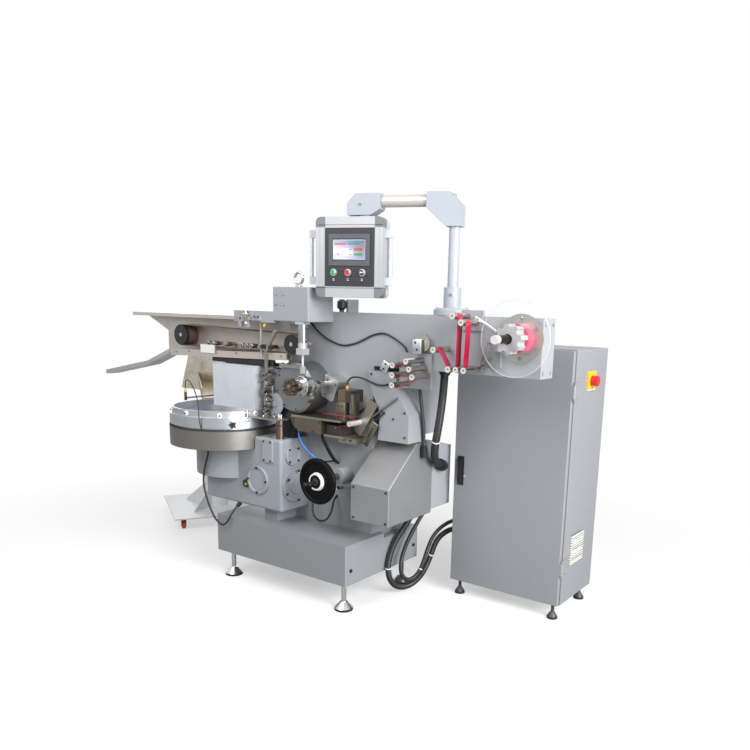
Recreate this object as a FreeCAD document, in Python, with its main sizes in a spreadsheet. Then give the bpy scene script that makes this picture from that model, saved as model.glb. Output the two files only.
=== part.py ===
import FreeCAD, Part
import Sketcher
import math
import os
import re

os.makedirs("parts", exist_ok=True)
doc = FreeCAD.newDocument("CandyWrapper")
sheet = doc.addObject("Spreadsheet::Sheet", "Sizes")

# Lengths are in millimetres and angles in degrees.
# Places are measured from the base frame's front left corner at floor level.
# The finished part stands with its origin under the front left levelling foot.
sizes = {
    "base_length": 893, "base_depth": 590, "base_bottom": 143, "base_height": 198, "base_wall": 8,
    "base_step": 46, "base_step_height": 26,
    "foot_inset": 58, "foot_pad_radius": 45, "foot_pad_height": 12, "foot_cone_height": 30,
    "foot_cone_radius": 17, "foot_stem_radius": 12, "foot_nut_radius": 20, "foot_nut_height": 16,
    "face_plane": 240, "column_left": 300, "column_right": 855, "column_depth": 270,
    "beam_bottom": 1166, "beam_top": 1410, "beam_right": 1712, "beam_depth": 115, "frame_corner": 5,
    "casting_front": 40, "casting_left": -125, "casting_right": 438, "casting_bottom": 413,
    "casting_top": 783, "casting_corner": 14, "barrel_centre_across": -33, "barrel_centre_back": 190,
    "barrel_radius": 222, "barrel_bottom": 547, "casting_foot_inset": 60, "casting_foot_width": 90,
    "round_cover_across": 278, "round_cover_up": 561, "round_cover_radius": 73,
    "round_cover_thickness": 12, "cover_rim": 10, "cover_rim_step": 5, "cover_chamfer": 2,
    "bearing_hub_radius": 46, "bearing_hub_step": 7, "side_cover_flat": 44,
    "side_cover_radius": 52, "side_cover_back": 120, "side_cover_up": 700,
    "bearing_cover_radius": 88, "bearing_cover_back": 135, "bearing_cover_up": 545,
    "pad_left": 320, "pad_width": 66, "pad_bottom": 662, "pad_height": 116, "pad_thickness": 10,
    "sight_across": 190, "sight_up": 530, "sight_radius": 20, "sight_glass_radius": 13,
    "sight_depth": 9,
    "drum_centre_across": -25, "drum_centre_back": 95, "drum_radius": 283, "drum_bottom": 718,
    "drum_height": 102, "drum_clearance": 5, "seal_height": 8, "seal_inset": 16,
    "bowl_height": 52, "bowl_wall": 26, "bowl_floor": 14, "bowl_inset": 3,
    "ring_height": 32, "ring_wall": 10, "ring_inset": 22,
    "guard_left": -70, "guard_width": 307, "guard_front": 60, "guard_depth": 76,
    "guard_top": 1132, "guard_wall": 4,
    "deck_right": 440, "deck_thickness": 8, "deck_front": 20, "deck_back": 130,
    "bushing_radius": 20, "bushing_across": 400, "bushing_back": 75,
    "stand_across": -915, "stand_back": 780, "stand_side": 650, "stand_thickness": 8, "stand_turn": -31,
    "stand_top": 80, "stand_post_radius": 84, "stand_post_wall": 6, "gusset_length": 270,
    "gusset_height": 150,
    "gusset_thickness": 8, "caster_inset": 60, "wheel_radius": 25, "wheel_width": 20,
    "caster_plate": 60, "caster_plate_thickness": 4, "fork_thickness": 3, "fork_clearance": 2,
    "hopper_bottom": 880, "hopper_top": 1150, "hopper_bottom_width": 304, "hopper_top_width": 216,
    "hopper_wall": 4, "hopper_floor": 8,
    "chute_width": 220, "chute_height": 60, "chute_wall": 5, "chute_reach": 860,
    "housing_left": 373, "housing_right": 600, "housing_front": 65, "housing_bottom": 1360,
    "housing_top": 1520, "housing_corner": 4,
    "pusher_left": 95, "pusher_front": 65, "pusher_thickness": 30, "pusher_bottom": 1350,
    "pusher_height": 54, "grip_left": 140, "grip_width": 70, "grip_bottom": 1324,
    "grip_top": 1378, "grip_thickness": 14, "grip_slot": 22, "grip_slot_height": 26,
    "carrier_width": 82, "carrier_height": 20, "carrier_hole": 5, "feeler_radius": 5,
    "feeler_across": 270, "feeler_bottom": 1180,
    "regulator_across": 604, "regulator_back": 300, "regulator_radius": 24, "regulator_height": 60,
    "tag_left": 636, "tag_width": 74, "tag_height": 60, "tag_thickness": 6,
    "eye_across": 490, "eye_back": 120, "eye_radius": 26, "eye_wire": 7, "eye_shank": 9, "eye_seat": 18,
    "conveyor_plate_back": 184, "conveyor_plate_thickness": 6, "conveyor_plate_left": -590,
    "conveyor_plate_right": 370, "conveyor_plate_bottom": 1166, "conveyor_plate_tip": -764,
    "conveyor_plate_knee": 1278, "conveyor_bracket": 60,
    "pulley_gap": 3, "pulley_width": 76, "left_pulley_across": -382, "left_pulley_up": 1262,
    "left_pulley_radius": 54, "right_pulley_across": 449, "right_pulley_up": 1250,
    "right_pulley_radius": 46, "pulley_shaft_radius": 10, "belt_thickness": 3, "belt_width": 66,
    "bar_front": 88, "bar_thickness": 10, "bar_left": -451, "bar_right": 430, "bar_left_top": 1184,
    "bar_right_top": 1206, "bar_height": 34, "idler_radius": 9, "idler_up": 1228,
    "idler_pair_across": -158, "idler_pair_pitch": 40, "idler_middle_across": -26,
    "idler_row_across": 101, "idler_row_pitch": 34, "idler_end_across": 233, "idler_end_pitch": 49,
    "mark_left": -192, "mark_width": 123, "mark_bottom": 1178, "mark_top": 1221, "mark_thickness": 5,
    "gauge_left": 290, "gauge_width": 22, "gauge_bottom": 1100, "gauge_top": 1242, "gauge_thickness": 6,
    "gauge_foot": 30, "probe_radius": 10, "probe_length": 118, "probe_turn": 35, "probe_clamp": 26,
    "tray_left": -839, "tray_right": 300, "tray_front": 130, "tray_top": 1375, "tray_lip": 19,
    "tray_sheet": 3, "tray_end": 8,
    "slide_start": -470, "slide_knee": -678, "slide_end": -1090, "slide_start_up": 1160,
    "slide_knee_up": 1080, "slide_end_up": 1000, "slide_wall": 24, "slide_sheet": 3,
    "head_across": 462, "head_up": 1040, "head_front": 100, "head_radius": 126,
    "head_bevel": 14, "rotor_across": 572, "rotor_up": 1062, "rotor_radius": 48, "rotor_front": 40,
    "rotor_thickness": 28, "rotor_shaft_radius": 18, "rotor_boss_radius": 30, "rotor_boss_length": 46,
    "rotor_bevel": 4, "gripper_radius": 42, "gripper_hub_radius": 22, "gripper_width": 30,
    "jaw_thickness": 11, "jaw_width": 15, "jaw_count": 4, "jaw_pin_radius": 4, "jaw_pin_length": 8,
    "collar_radius": 40, "collar_gap": 6, "stop_radius": 20, "stop_across": 574, "stop_up": 998,
    "stop_length": 26,
    "lever_arm_left": 405, "lever_arm_up": 1146, "lever_arm_height": 16, "lever_arm_thickness": 14,
    "lever_arm_boss": 14, "lever_shaft_radius": 8,
    "oval_across": 628, "oval_up": 1056, "oval_length": 76, "oval_radius": 18, "oval_thickness": 12,
    "oval_front": 104, "oval_turn": 55, "oval_post_radius": 13, "oval_hole_radius": 5,
    "feed_block_left": 286, "feed_block_width": 46, "feed_block_front": 130, "feed_block_bottom": 996,
    "feed_block_height": 130, "nozzle_radius": 12, "nozzle_length": 34, "nozzle_pitch": 45,
    "tilt_box_across": 650, "tilt_box_up": 1050, "tilt_box_width": 84, "tilt_box_height": 112,
    "tilt_box_depth": 80, "tilt_box_turn": 20,
    "knife_left": 453, "knife_right": 651, "knife_bottom": 832, "knife_top": 900,
    "knife_front": 100, "knife_chamfer": 40, "knife_plate_right": 770, "knife_plate": 10,
    "clamp_left": 656, "clamp_right": 745, "clamp_front": 130, "clamp_bottom": 834, "clamp_top": 878,
    "film_base_right": 782, "film_base_front": 112, "film_base_thickness": 12,
    "film_block_left": 713, "film_block_width": 112, "film_block_height": 26, "film_block_front": 150,
    "feed_roller_across": 806, "feed_roller_up": 897, "feed_roller_front": 120,
    "guide_back": 200, "guide_thickness": 8, "guide_width": 52, "guide_low_across": 790,
    "guide_low_up": 845, "guide_high_across": 890, "guide_high_up": 1000, "guide_post_radius": 9,
    "sensor_left": 712, "sensor_width": 80, "sensor_bottom": 993, "sensor_height": 56,
    "sensor_front": 150, "sensor_depth": 60,
    "cylinder_across": 541, "cylinder_back": 90, "cylinder_radius": 22, "cylinder_bottom": 1236,
    "cylinder_plate": 50, "cylinder_plate_thickness": 12, "cylinder_cap": 30, "cylinder_rod_radius": 6,
    "cylinder_rod_bottom": 1150, "clevis_side": 18, "clevis_height": 34,
    "wheel_across": 700, "wheel_up": 622, "wheel_back": 20, "rim_radius": 112, "rim_wire": 12,
    "hub_radius": 40, "hub_length": 34, "shaft_radius": 17, "shaft_clearance": 0.3,
    "hood_left": 855, "hood_right": 1076, "hood_front": 80, "hood_bottom": 450, "hood_step": 627,
    "hood_top": 813, "hood_knee": 293, "hood_back": 430, "column_gap": 0.3,
    "sheet_corner": 4, "cover_left": 905, "cover_right": 1080, "cover_bottom": 822, "cover_shoulder": 950,
    "cover_top": 1146, "cover_top_left": 848, "cover_top_right": 1006, "cover_front": 215,
    "rear_right": 1070, "rear_front": 333, "rear_back": 510, "rear_bottom": 850,
    "low_rear_front": 432, "low_rear_back": 600, "low_rear_bottom": 468, "low_rear_slope": 43,
    "roller_radius": 13, "roller_bore": 6, "roller_bore_depth": 5, "roller_front": 100,
    "roller_plate_thickness": 12, "boss_radius": 40, "boss_bore": 11,
    "boss_from_reel": 481, "boss_up": 1287, "boss_depth": 26, "low_plate_from_reel": 612,
    "low_plate_width": 174, "low_plate_bottom": 1080, "low_plate_top": 1240,
    "high_plate_from_reel": 291, "high_plate_width": 105, "high_plate_bottom": 1350,
    "high_plate_top": 1435,
    "cluster_from_reel": 561, "cluster_up": 1101, "cluster_pitch": 44,
    "stair_from_reel": 488, "stair_up": 1210, "stair_run": 17, "stair_drop": 33,
    "turn_roller_from_reel": 349, "turn_roller_up": 1267,
    "low_rollers_from_reel": 272, "low_rollers_up": 1190, "low_rollers_pitch": 38,
    "high_roller_from_reel": 259, "high_roller_up": 1409, "high_roller_run": 42, "high_roller_drop": 25,
    "edge_sensor_from_reel": 148, "edge_sensor_width": 54, "edge_sensor_bottom": 1201,
    "edge_sensor_height": 68, "edge_sensor_depth": 52,
    "film_thickness": 1, "film_front": 122, "film_width": 40,
    "reel_inset": 86, "reel_up": 1327, "reel_shaft_radius": 17, "reel_shaft_front": -4,
    "steel_disc_radius": 100, "steel_disc_back": 222, "steel_disc_thickness": 5,
    "clear_disc_radius": 155, "clear_disc_thickness": 4, "film_roll_width": 50,
    "film_roll_radius": 61, "knob_radius": 60, "knob_length": 62, "knob_scallops": 8,
    "scallop_radius": 15, "disc_holes": 6, "disc_hole_radius": 9, "disc_hole_circle": 80,
    "reel_clearance": 0.3,
    "post_across": 1228, "post_back": 318, "flange_radius": 82, "flange_height": 32,
    "flange_chamfer": 8, "sleeve_radius": 39, "sleeve_height": 120, "post_radius": 25,
    "elbow_width": 70, "elbow_length": 157, "elbow_top": 1930, "elbow_bottom": 1787,
    "elbow_chamfer": 56, "arm_up": 1897, "arm_length": 414, "arm_angle": 17.3, "arm_radius": 26,
    "drop_bottom": 1837, "drop_top": 1929, "drop_length": 156, "drop_chamfer": 40, "joint_gap": 0.3,
    "panel_left": -219, "panel_right": 104, "panel_front": 60, "panel_back": -32,
    "panel_bottom": 1477, "panel_top": 1828, "panel_corner": 24, "panel_groove": 10,
    "panel_groove_depth": 4,
    "keypad_left": -172, "keypad_right": 66, "keypad_bottom": 1526, "keypad_top": 1780,
    "keypad_thickness": 3, "bezel_inset": 20, "bezel_top_inset": 27, "bezel_height": 137,
    "bezel_width": 20, "bezel_thickness": 5, "button_up": 60, "button_radius": 16, "button_cap_radius": 12,
    "button_collar": 4, "button_length": 14, "button_inset": 43, "button_pitch": 70,
    "handle_reach": 52, "handle_radius": 10, "handle_bottom": 1534,
    "handle_top": 1774, "handle_bracket": 34,
    "gland_radius": 5, "gland_length": 22, "gland_nut": 1.2,
    "cabinet_left": 1120.5, "cabinet_width": 600, "cabinet_front": 561.5, "cabinet_depth": 400,
    "cabinet_bottom": 75, "cabinet_height": 1200, "door_thickness": 20, "door_gap": 5.5,
    "door_inset": 3, "cabinet_wall": 15, "hinge_pin_radius": 4, "hinge_clearance": 0.3,
    "hinge_barrel_radius": 9, "hinge_length": 60, "hinge_low": 230, "hinge_high": 1060,
    "hinge_offset": 4, "hinge_leaf": 12,
    "handle_across": 42, "handle_up": 655, "handle_length": 146, "handle_width": 34,
    "handle_depth": 4, "lever_length": 104, "lever_width": 22, "lever_thickness": 12,
    "lever_pin_radius": 2.5, "lever_ear": 4, "lever_drop": 14,
    "switch_back": 205, "switch_up": 1130, "switch_plate": 90, "switch_plate_thickness": 6,
    "switch_knob_radius": 24, "switch_knob_length": 30, "switch_gap": 0.3,
    "vent_back": 165, "vent_up": 330, "vent_side": 148, "vent_thickness": 12, "vent_rim": 12,
    "vent_slats": 8, "vent_slat_gap": 8, "vent_slat_depth": 7, "cabinet_corner": 5, "door_corner": 3,
    "cabinet_foot_radius": 26, "cabinet_foot_inset": 40, "cabinet_stem_radius": 8,
    "cabinet_pad_height": 8, "cabinet_cone_height": 26,
}
for row, (alias, value) in enumerate(sizes.items(), start=1):
    sheet.set(f"A{row}", alias)
    sheet.set(f"B{row}", str(value))
    sheet.setAlias(f"B{row}", alias)
doc.recompute()


alias_word = re.compile(r"\b[a-z][a-z_]+\b(?!\()")
pieces = []


def cell(formula):
    return alias_word.sub(lambda found: "Sizes." + found.group(), formula)


class SheetValues:
    def __getattr__(self, alias):
        return float(sheet.get(alias))


v = SheetValues()


def bind(item, **formulas):
    for name, formula in formulas.items():
        item.setExpression(name.replace("_at_", "."), cell(formula))
    return item


def seat(item, x, y, z):
    item.setExpression("Placement.Base.x", cell(f"{x} - foot_inset"))
    item.setExpression("Placement.Base.y", cell(f"{y} - foot_inset"))
    item.setExpression("Placement.Base.z", cell(f"{z}"))
    return item


def box(name, x, y, z, length, width, height):
    item = doc.addObject("Part::Box", name)
    bind(item, Length=length, Width=width, Height=height)
    return seat(item, x, y, z)


TURNS = {"z": (0, 0, 0), "x": (0, 90, 0), "y": (0, 0, -90)}


def turned(axis):
    yaw, pitch, roll = TURNS[axis]
    return FreeCAD.Rotation(yaw, pitch, roll)


def rod(name, x, y, z, radius, height, axis="z"):
    item = doc.addObject("Part::Cylinder", name)
    item.Placement = FreeCAD.Placement(FreeCAD.Vector(), turned(axis))
    bind(item, Radius=radius, Height=height)
    return seat(item, x, y, z)


def fuse(name, items):
    item = doc.addObject("Part::MultiFuse", name)
    item.Shapes = items
    item.Refine = True
    return item


def cut(name, base, tool):
    item = doc.addObject("Part::Cut", name)
    item.Base = base
    item.Tool = tool
    item.Refine = True
    return item


def piece(item, label):
    item.Label = label
    pieces.append(item)
    return item


def shape_piece(label, shape):
    item = doc.addObject("Part::Feature", label)
    item.Shape = shape
    origin = FreeCAD.Placement(FreeCAD.Vector(-v.foot_inset, -v.foot_inset, 0), FreeCAD.Rotation())
    item.Placement = origin.multiply(shape.Placement)
    return piece(item, label)


PLANES = {"front": ("XZ_Plane", True), "side": ("YZ_Plane", False), "top": ("XY_Plane", False)}


# An outline on one of the origin planes, padded to a plate or block.
# Its corners are formulas, measured from the base frame's corner.
def outline(name, plane, corners, depth, x="0", y="0", z="0"):
    body = doc.addObject("PartDesign::Body", name)
    role, backwards = PLANES[plane]
    flat = next(f for f in body.Origin.OriginFeatures if f.Role == role)
    sketch = body.newObject("Sketcher::SketchObject", name + "_outline")
    sketch.AttachmentSupport = [(flat, "")]
    sketch.MapMode = "FlatFace"
    spots = []
    for across, up in corners:
        spots.append(FreeCAD.Vector(worked_out(across), worked_out(up), 0))
    count = len(spots)
    for index in range(count):
        sketch.addGeometry(Part.LineSegment(spots[index], spots[(index + 1) % count]), False)
    for index in range(count):
        sketch.addConstraint(Sketcher.Constraint("Coincident", index, 2, (index + 1) % count, 1))
    for index, (across, up) in enumerate(corners):
        wide = sketch.addConstraint(Sketcher.Constraint("DistanceX", -1, 1, index, 1, spots[index].x))
        sketch.setExpression(f"Constraints[{wide}]", cell(across))
        high = sketch.addConstraint(Sketcher.Constraint("DistanceY", -1, 1, index, 1, spots[index].y))
        sketch.setExpression(f"Constraints[{high}]", cell(up))
    pad = body.newObject("PartDesign::Pad", name + "_pad")
    pad.Profile = sketch
    pad.Reversed = backwards
    pad.setExpression("Length", cell(depth))
    sketch.Visibility = False
    return seat(body, x, y, z)


def worked_out(formula):
    known = {found: getattr(v, found) for found in alias_word.findall(formula)}
    total = formula
    for alias in sorted(known, key=len, reverse=True):
        total = re.sub(rf"\b{alias}\b", repr(known[alias]), total)
    sheet.set("D1", "=" + total)
    sheet.recompute()
    return float(sheet.get("D1"))


def vec(x, y, z):
    return FreeCAD.Vector(x, y, z)


def tube(radius, height, at, axis=(0, 0, 1)):
    return Part.makeCylinder(radius, height, vec(*at), vec(*axis))


def block(x, y, z, length, width, height):
    return Part.makeBox(length, width, height, vec(x, y, z))


# A closed outline of radius and height pairs turned once round a vertical axis.
def turning(points, across, back):
    spots = [vec(across + radius, back, up) for radius, up in points]
    face = Part.Face(Part.makePolygon(spots + spots[:1]))
    return face.revolve(vec(across, back, 0), vec(0, 0, 1), 360)


# An outline of radius and height pairs turned once round any axis.
def lid(points, at, axis):
    spots = [vec(radius, 0, up) for radius, up in points]
    shape = Part.Face(Part.makePolygon(spots + spots[:1])).revolve(vec(0, 0, 0), vec(0, 0, 1), 360)
    shape.Placement = FreeCAD.Placement(vec(*at), FreeCAD.Rotation(vec(0, 0, 1), vec(*axis)))
    return shape


# Rounds the edges of an object that the test picks.
def rounded(name, base, radius, wanted):
    doc.recompute()
    item = doc.addObject("Part::Fillet", name)
    item.Base = base
    item.Edges = [(number, radius, radius) for number, edge in enumerate(base.Shape.Edges, start=1)
                  if wanted(edge.BoundBox)]
    return item


def soften(shape, radius, wanted):
    return shape.makeFillet(radius, [edge for edge in shape.Edges if wanted(edge.BoundBox)])


def upright(reach):
    return reach.XLength < 0.01 and reach.YLength < 0.01


# A round tube along a route: straight runs joined by arcs as large as the runs allow.
def cord(name, route, radius):
    spots = [vec(*spot) for spot in route]
    edges = []
    bends = []
    at = spots[0]
    for before, corner, after in zip(spots, spots[1:], spots[2:]):
        back = before - corner
        ahead = after - corner
        setback = 0.45 * min(back.Length, ahead.Length)
        back.normalize()
        ahead.normalize()
        turn = math.pi - back.getAngle(ahead)
        bend = setback / math.tan(turn / 2)
        half_way = back + ahead
        half_way.normalize()
        middle = corner + half_way * (math.hypot(bend, setback) - bend)
        bends.append(bend)
        edges.append(Part.LineSegment(at, corner + back * setback).toShape())
        edges.append(Part.Arc(corner + back * setback, middle, corner + ahead * setback).toShape())
        at = corner + ahead * setback
    edges.append(Part.LineSegment(at, spots[-1]).toShape())
    path = Part.Wire(edges)
    first_run = spots[1] - spots[0]
    circle = Part.Wire([Part.makeCircle(radius, spots[0], first_run)])
    shape = path.makePipeShell([circle], True, False)
    share = shape.Volume / (math.pi * radius ** 2 * path.Length)
    print(f"{name}: smallest radius {min(bends):.1f}, all {[round(b) for b in bends]},",
          f"length {path.Length:.0f}, volume share {share:.4f}")
    return shape


# A gland at a cord's end: a collar and a nut in line with it, trimmed by what it is screwed into.
def gland(end, before, radius, carrier):
    line = vec(*end) - vec(*before)
    line.normalize()
    start = vec(*end)
    collar = Part.makeCylinder(radius + v.gland_radius, v.gland_length * 2, start, line)
    nut = Part.makeCylinder((radius + v.gland_radius) * v.gland_nut, v.gland_length * 2,
                            start + line * (v.gland_length / 2), line)
    return collar.fuse(nut).cut(carrier).removeSplitter()


# Base frame: a closed welded box, with a step along its back right edge.
base_outside = box("base_outside", "0", "0", "base_bottom", "base_length", "base_depth", "base_height")
base_notch = box("base_notch", "base_length - base_step", "base_depth / 2",
                 "base_bottom + base_height - base_step_height", "base_step", "base_depth / 2",
                 "base_step_height")
base_box = cut("base_box", base_outside, base_notch)
piece(rounded("base_rounded", base_box, v.frame_corner, upright), "base_frame")

# Levelling feet: a pad, a chrome cone, a stem and a lock nut at each corner.
feet = []
for across in (v.foot_inset, v.base_length - v.foot_inset):
    for back in (v.foot_inset, v.base_depth - v.foot_inset):
        foot_profile = [
            (0, 0), (v.foot_pad_radius, 0), (v.foot_pad_radius, v.foot_pad_height),
            (v.foot_cone_radius, v.foot_pad_height + v.foot_cone_height),
            (v.foot_stem_radius, v.foot_pad_height + v.foot_cone_height),
            (v.foot_stem_radius, v.base_bottom - v.foot_nut_height),
            (v.foot_nut_radius, v.base_bottom - v.foot_nut_height),
            (v.foot_nut_radius, v.base_bottom), (0, v.base_bottom)]
        feet.append(turning(foot_profile, across, back))
shape_piece("levelling_feet", Part.makeCompound(feet))

# Column and beam: the grey weldment that carries everything.
column_box = box("column_box", "column_left", "face_plane", "base_bottom + base_height",
                 "column_right - column_left", "column_depth",
                 "beam_bottom - base_bottom - base_height")
bearing_boss = rod("bearing_boss", "wheel_across", "face_plane - 2 * hub_radius", "wheel_up",
                   "hub_radius", "2 * hub_radius", "y")
bearing_bore = rod("bearing_bore", "wheel_across", "face_plane - 3 * hub_radius", "wheel_up",
                   "shaft_radius + shaft_clearance", "3 * hub_radius", "y")
piece(cut("column_cut", fuse("column_fuse", [column_box, bearing_boss]), bearing_bore), "main_column")
piece(box("beam_box", "column_left", "face_plane", "beam_bottom",
          "beam_right - column_left", "beam_depth", "beam_top - beam_bottom"), "top_beam")

# Gearbox casting: a block and a barrel that bulges from its left front corner.
casting_block = box("casting_block", "casting_left", "casting_front", "casting_bottom",
                    "casting_right - casting_left", "face_plane - casting_front",
                    "casting_top - casting_bottom")
casting_barrel = rod("casting_barrel", "barrel_centre_across", "barrel_centre_back", "barrel_bottom",
                     "barrel_radius", "drum_bottom - barrel_bottom")
casting_back = v.face_plane - v.foot_inset
casting_shell = rounded("casting_shell", casting_block, v.casting_corner,
                        lambda reach: reach.YMin < casting_back - 1)
casting_solid = fuse("casting_solid", [casting_shell, casting_barrel])
drum_room = rod("drum_room", "drum_centre_across", "drum_centre_back", "drum_bottom",
                "drum_radius + drum_clearance", "drum_height * 2")
casting_body = cut("casting_cut", casting_solid, drum_room)
casting_rest = box("casting_rest", "casting_right - 2 * casting_foot_width",
                   "casting_front + casting_foot_inset", "base_bottom + base_height",
                   "casting_foot_width", "face_plane - casting_front - casting_foot_inset",
                   "casting_bottom - base_bottom - base_height")
piece(fuse("casting_whole", [casting_body, casting_rest]), "gearbox_casting")

# Covers on the casting: a round one in front, two on its right side and a square pad.
def rimmed(radius):
    thick = v.round_cover_thickness
    inner = radius - v.cover_rim
    return [(0, 0), (radius, 0), (radius, thick - v.cover_chamfer), (radius - v.cover_chamfer, thick),
            (inner, thick), (inner - v.cover_rim_step, thick - v.cover_rim_step),
            (0, thick - v.cover_rim_step)]


side_cover = lid(rimmed(v.side_cover_radius), (v.casting_right, v.side_cover_back, v.side_cover_up),
                 (1, 0, 0))
side_cover = side_cover.cut(block(v.casting_right, v.side_cover_back - v.side_cover_radius,
                                  v.side_cover_up + v.side_cover_flat, v.round_cover_thickness,
                                  2 * v.side_cover_radius, v.side_cover_radius))
bearing_top = v.round_cover_thickness + v.bearing_hub_step
bearing_cover = lid([
    (0, 0), (v.bearing_cover_radius, 0), (v.bearing_cover_radius, v.round_cover_thickness - v.cover_chamfer),
    (v.bearing_cover_radius - v.cover_chamfer, v.round_cover_thickness),
    (v.bearing_hub_radius, v.round_cover_thickness),
    (v.bearing_hub_radius - v.cover_chamfer, bearing_top), (0, bearing_top)],
    (v.casting_right, v.bearing_cover_back, v.bearing_cover_up), (1, 0, 0))
sight_ring = lid([
    (0, 0), (v.sight_radius, 0), (v.sight_radius, v.sight_depth), (v.sight_glass_radius, v.sight_depth),
    (v.sight_glass_radius, v.sight_depth / 2), (0, v.sight_depth / 2)],
    (v.sight_across, v.casting_front, v.sight_up), (0, -1, 0))
oil_pad = block(v.pad_left, v.casting_front - v.pad_thickness, v.pad_bottom,
                v.pad_width, v.pad_thickness, v.pad_height)
oil_pad = soften(oil_pad, v.cover_rim, lambda reach: reach.YLength > v.pad_thickness - 0.01
                 and reach.XLength < 0.01)
covers = [lid(rimmed(v.round_cover_radius), (v.round_cover_across, v.casting_front, v.round_cover_up),
              (0, -1, 0)), side_cover, bearing_cover, oil_pad, sight_ring]
shape_piece("casting_covers", Part.makeCompound(covers))

# Feeding disc: a drum, a bowl with a wall, and a guard ring on it.
drum_top = v.drum_bottom + v.drum_height
seal_radius = v.drum_radius - v.seal_inset
piece(rod("drum_body", "drum_centre_across", "drum_centre_back", "drum_bottom",
          "drum_radius", "drum_height"), "feed_drum")
bowl_bottom = drum_top + v.seal_height
bowl_radius = v.drum_radius - v.bowl_inset
bowl_profile = [
    (0, drum_top), (seal_radius, drum_top), (seal_radius, bowl_bottom), (bowl_radius, bowl_bottom),
    (bowl_radius, bowl_bottom + v.bowl_height), (bowl_radius - v.bowl_wall, bowl_bottom + v.bowl_height),
    (bowl_radius - v.bowl_wall, bowl_bottom + v.bowl_floor), (0, bowl_bottom + v.bowl_floor)]
shape_piece("feed_bowl", turning(bowl_profile, v.drum_centre_across, v.drum_centre_back))
bowl_top = bowl_bottom + v.bowl_height
ring_radius = bowl_radius - v.ring_inset + v.ring_wall
ring_profile = [
    (ring_radius - v.ring_wall, bowl_top), (ring_radius, bowl_top),
    (ring_radius, bowl_top + v.ring_height), (ring_radius - v.ring_wall, bowl_top + v.ring_height)]
shape_piece("feed_ring", turning(ring_profile, v.drum_centre_across, v.drum_centre_back))
ring_up = "drum_bottom + drum_height + seal_height + bowl_height + ring_height"
guard_outside = box("guard_outside", "guard_left", "guard_front", ring_up,
                    "guard_width", "guard_depth", f"guard_top - ({ring_up})")
guard_inside = box("guard_inside", "guard_left + guard_wall", "guard_front + guard_wall",
                   f"{ring_up} - guard_wall", "guard_width - 2 * guard_wall", "guard_depth",
                   f"guard_top - ({ring_up})")
piece(cut("guard_box", guard_outside, guard_inside), "guard_cover")

deck = box("deck_plate", "drum_centre_across + drum_radius", "deck_front",
           "drum_bottom + drum_height + seal_height + bowl_height",
           "deck_right - drum_centre_across - drum_radius", "deck_back - deck_front", "deck_thickness")
bushing = rod("deck_bushing", "bushing_across", "bushing_back", "casting_top", "bushing_radius",
              "drum_bottom + drum_height + seal_height + bowl_height - casting_top")
piece(fuse("deck_fuse", [deck, bushing]), "feed_deck")

# Feeder stand: a square plate on four casters, a round post with four gussets.
stand_turn = FreeCAD.Rotation(vec(0, 0, 1), v.stand_turn)
stand_place = FreeCAD.Placement(vec(v.stand_across, v.stand_back, 0), stand_turn)


def on_stand(shape):
    shape.Placement = stand_place.multiply(shape.Placement)
    return shape


half_side = v.stand_side / 2
stand_plate = block(-half_side, -half_side, v.stand_top - v.stand_thickness,
                    v.stand_side, v.stand_side, v.stand_thickness)
gussets = []
for turn in (45, 135, 225, 315):
    corners = [vec(v.stand_post_radius, 0, v.stand_top), vec(v.gusset_length, 0, v.stand_top),
               vec(v.stand_post_radius, 0, v.stand_top + v.gusset_height)]
    gusset = Part.Face(Part.makePolygon(corners + corners[:1])).extrude(vec(0, v.gusset_thickness, 0))
    gusset.translate(vec(0, -v.gusset_thickness / 2, 0))
    gusset.rotate(vec(0, 0, 0), vec(0, 0, 1), turn)
    gussets.append(gusset)
stand_post = tube(v.stand_post_radius, v.hopper_bottom - v.stand_top, (0, 0, v.stand_top))
shape_piece("feeder_stand", on_stand(stand_plate.fuse(gussets + [stand_post]).removeSplitter()))

casters = []
caster_spot = half_side - v.caster_inset
caster_top = v.stand_top - v.stand_thickness
fork_gap = v.wheel_width / 2 + v.fork_clearance
for across in (-caster_spot, caster_spot):
    for back in (-caster_spot, caster_spot):
        half_plate = v.caster_plate / 2
        top_plate = block(across - half_plate, back - half_plate, caster_top - v.caster_plate_thickness,
                          v.caster_plate, v.caster_plate, v.caster_plate_thickness)
        crown = block(across - v.wheel_radius / 2, back - fork_gap - v.fork_thickness,
                      2 * v.wheel_radius + v.fork_clearance, v.wheel_radius,
                      2 * (fork_gap + v.fork_thickness),
                      caster_top - v.caster_plate_thickness - 2 * v.wheel_radius - v.fork_clearance)
        cheeks = [block(across - v.wheel_radius / 2, back + side, v.wheel_radius / 2, v.wheel_radius,
                        v.fork_thickness, 1.5 * v.wheel_radius + v.fork_clearance)
                  for side in (-fork_gap - v.fork_thickness, fork_gap)]
        wheel = tube(v.wheel_radius, v.wheel_width, (across, back - v.wheel_width / 2, v.wheel_radius),
                     (0, 1, 0))
        axle = tube(v.wheel_radius / 5, 2 * (fork_gap + v.fork_thickness),
                    (across, back - fork_gap - v.fork_thickness, v.wheel_radius), (0, 1, 0))
        casters.append(top_plate.fuse([crown, wheel, axle] + cheeks).removeSplitter())
shape_piece("stand_casters", on_stand(Part.makeCompound(casters)))


# Hopper on the post: a shell that narrows upwards, with a chute that leads to the feeding disc.
def square_wire(side, up):
    half = side / 2
    spots = [vec(v.stand_across + a * half, v.stand_back + b * half, up)
             for a, b in ((-1, -1), (1, -1), (1, 1), (-1, 1))]
    return Part.makePolygon(spots + spots[:1])


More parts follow.
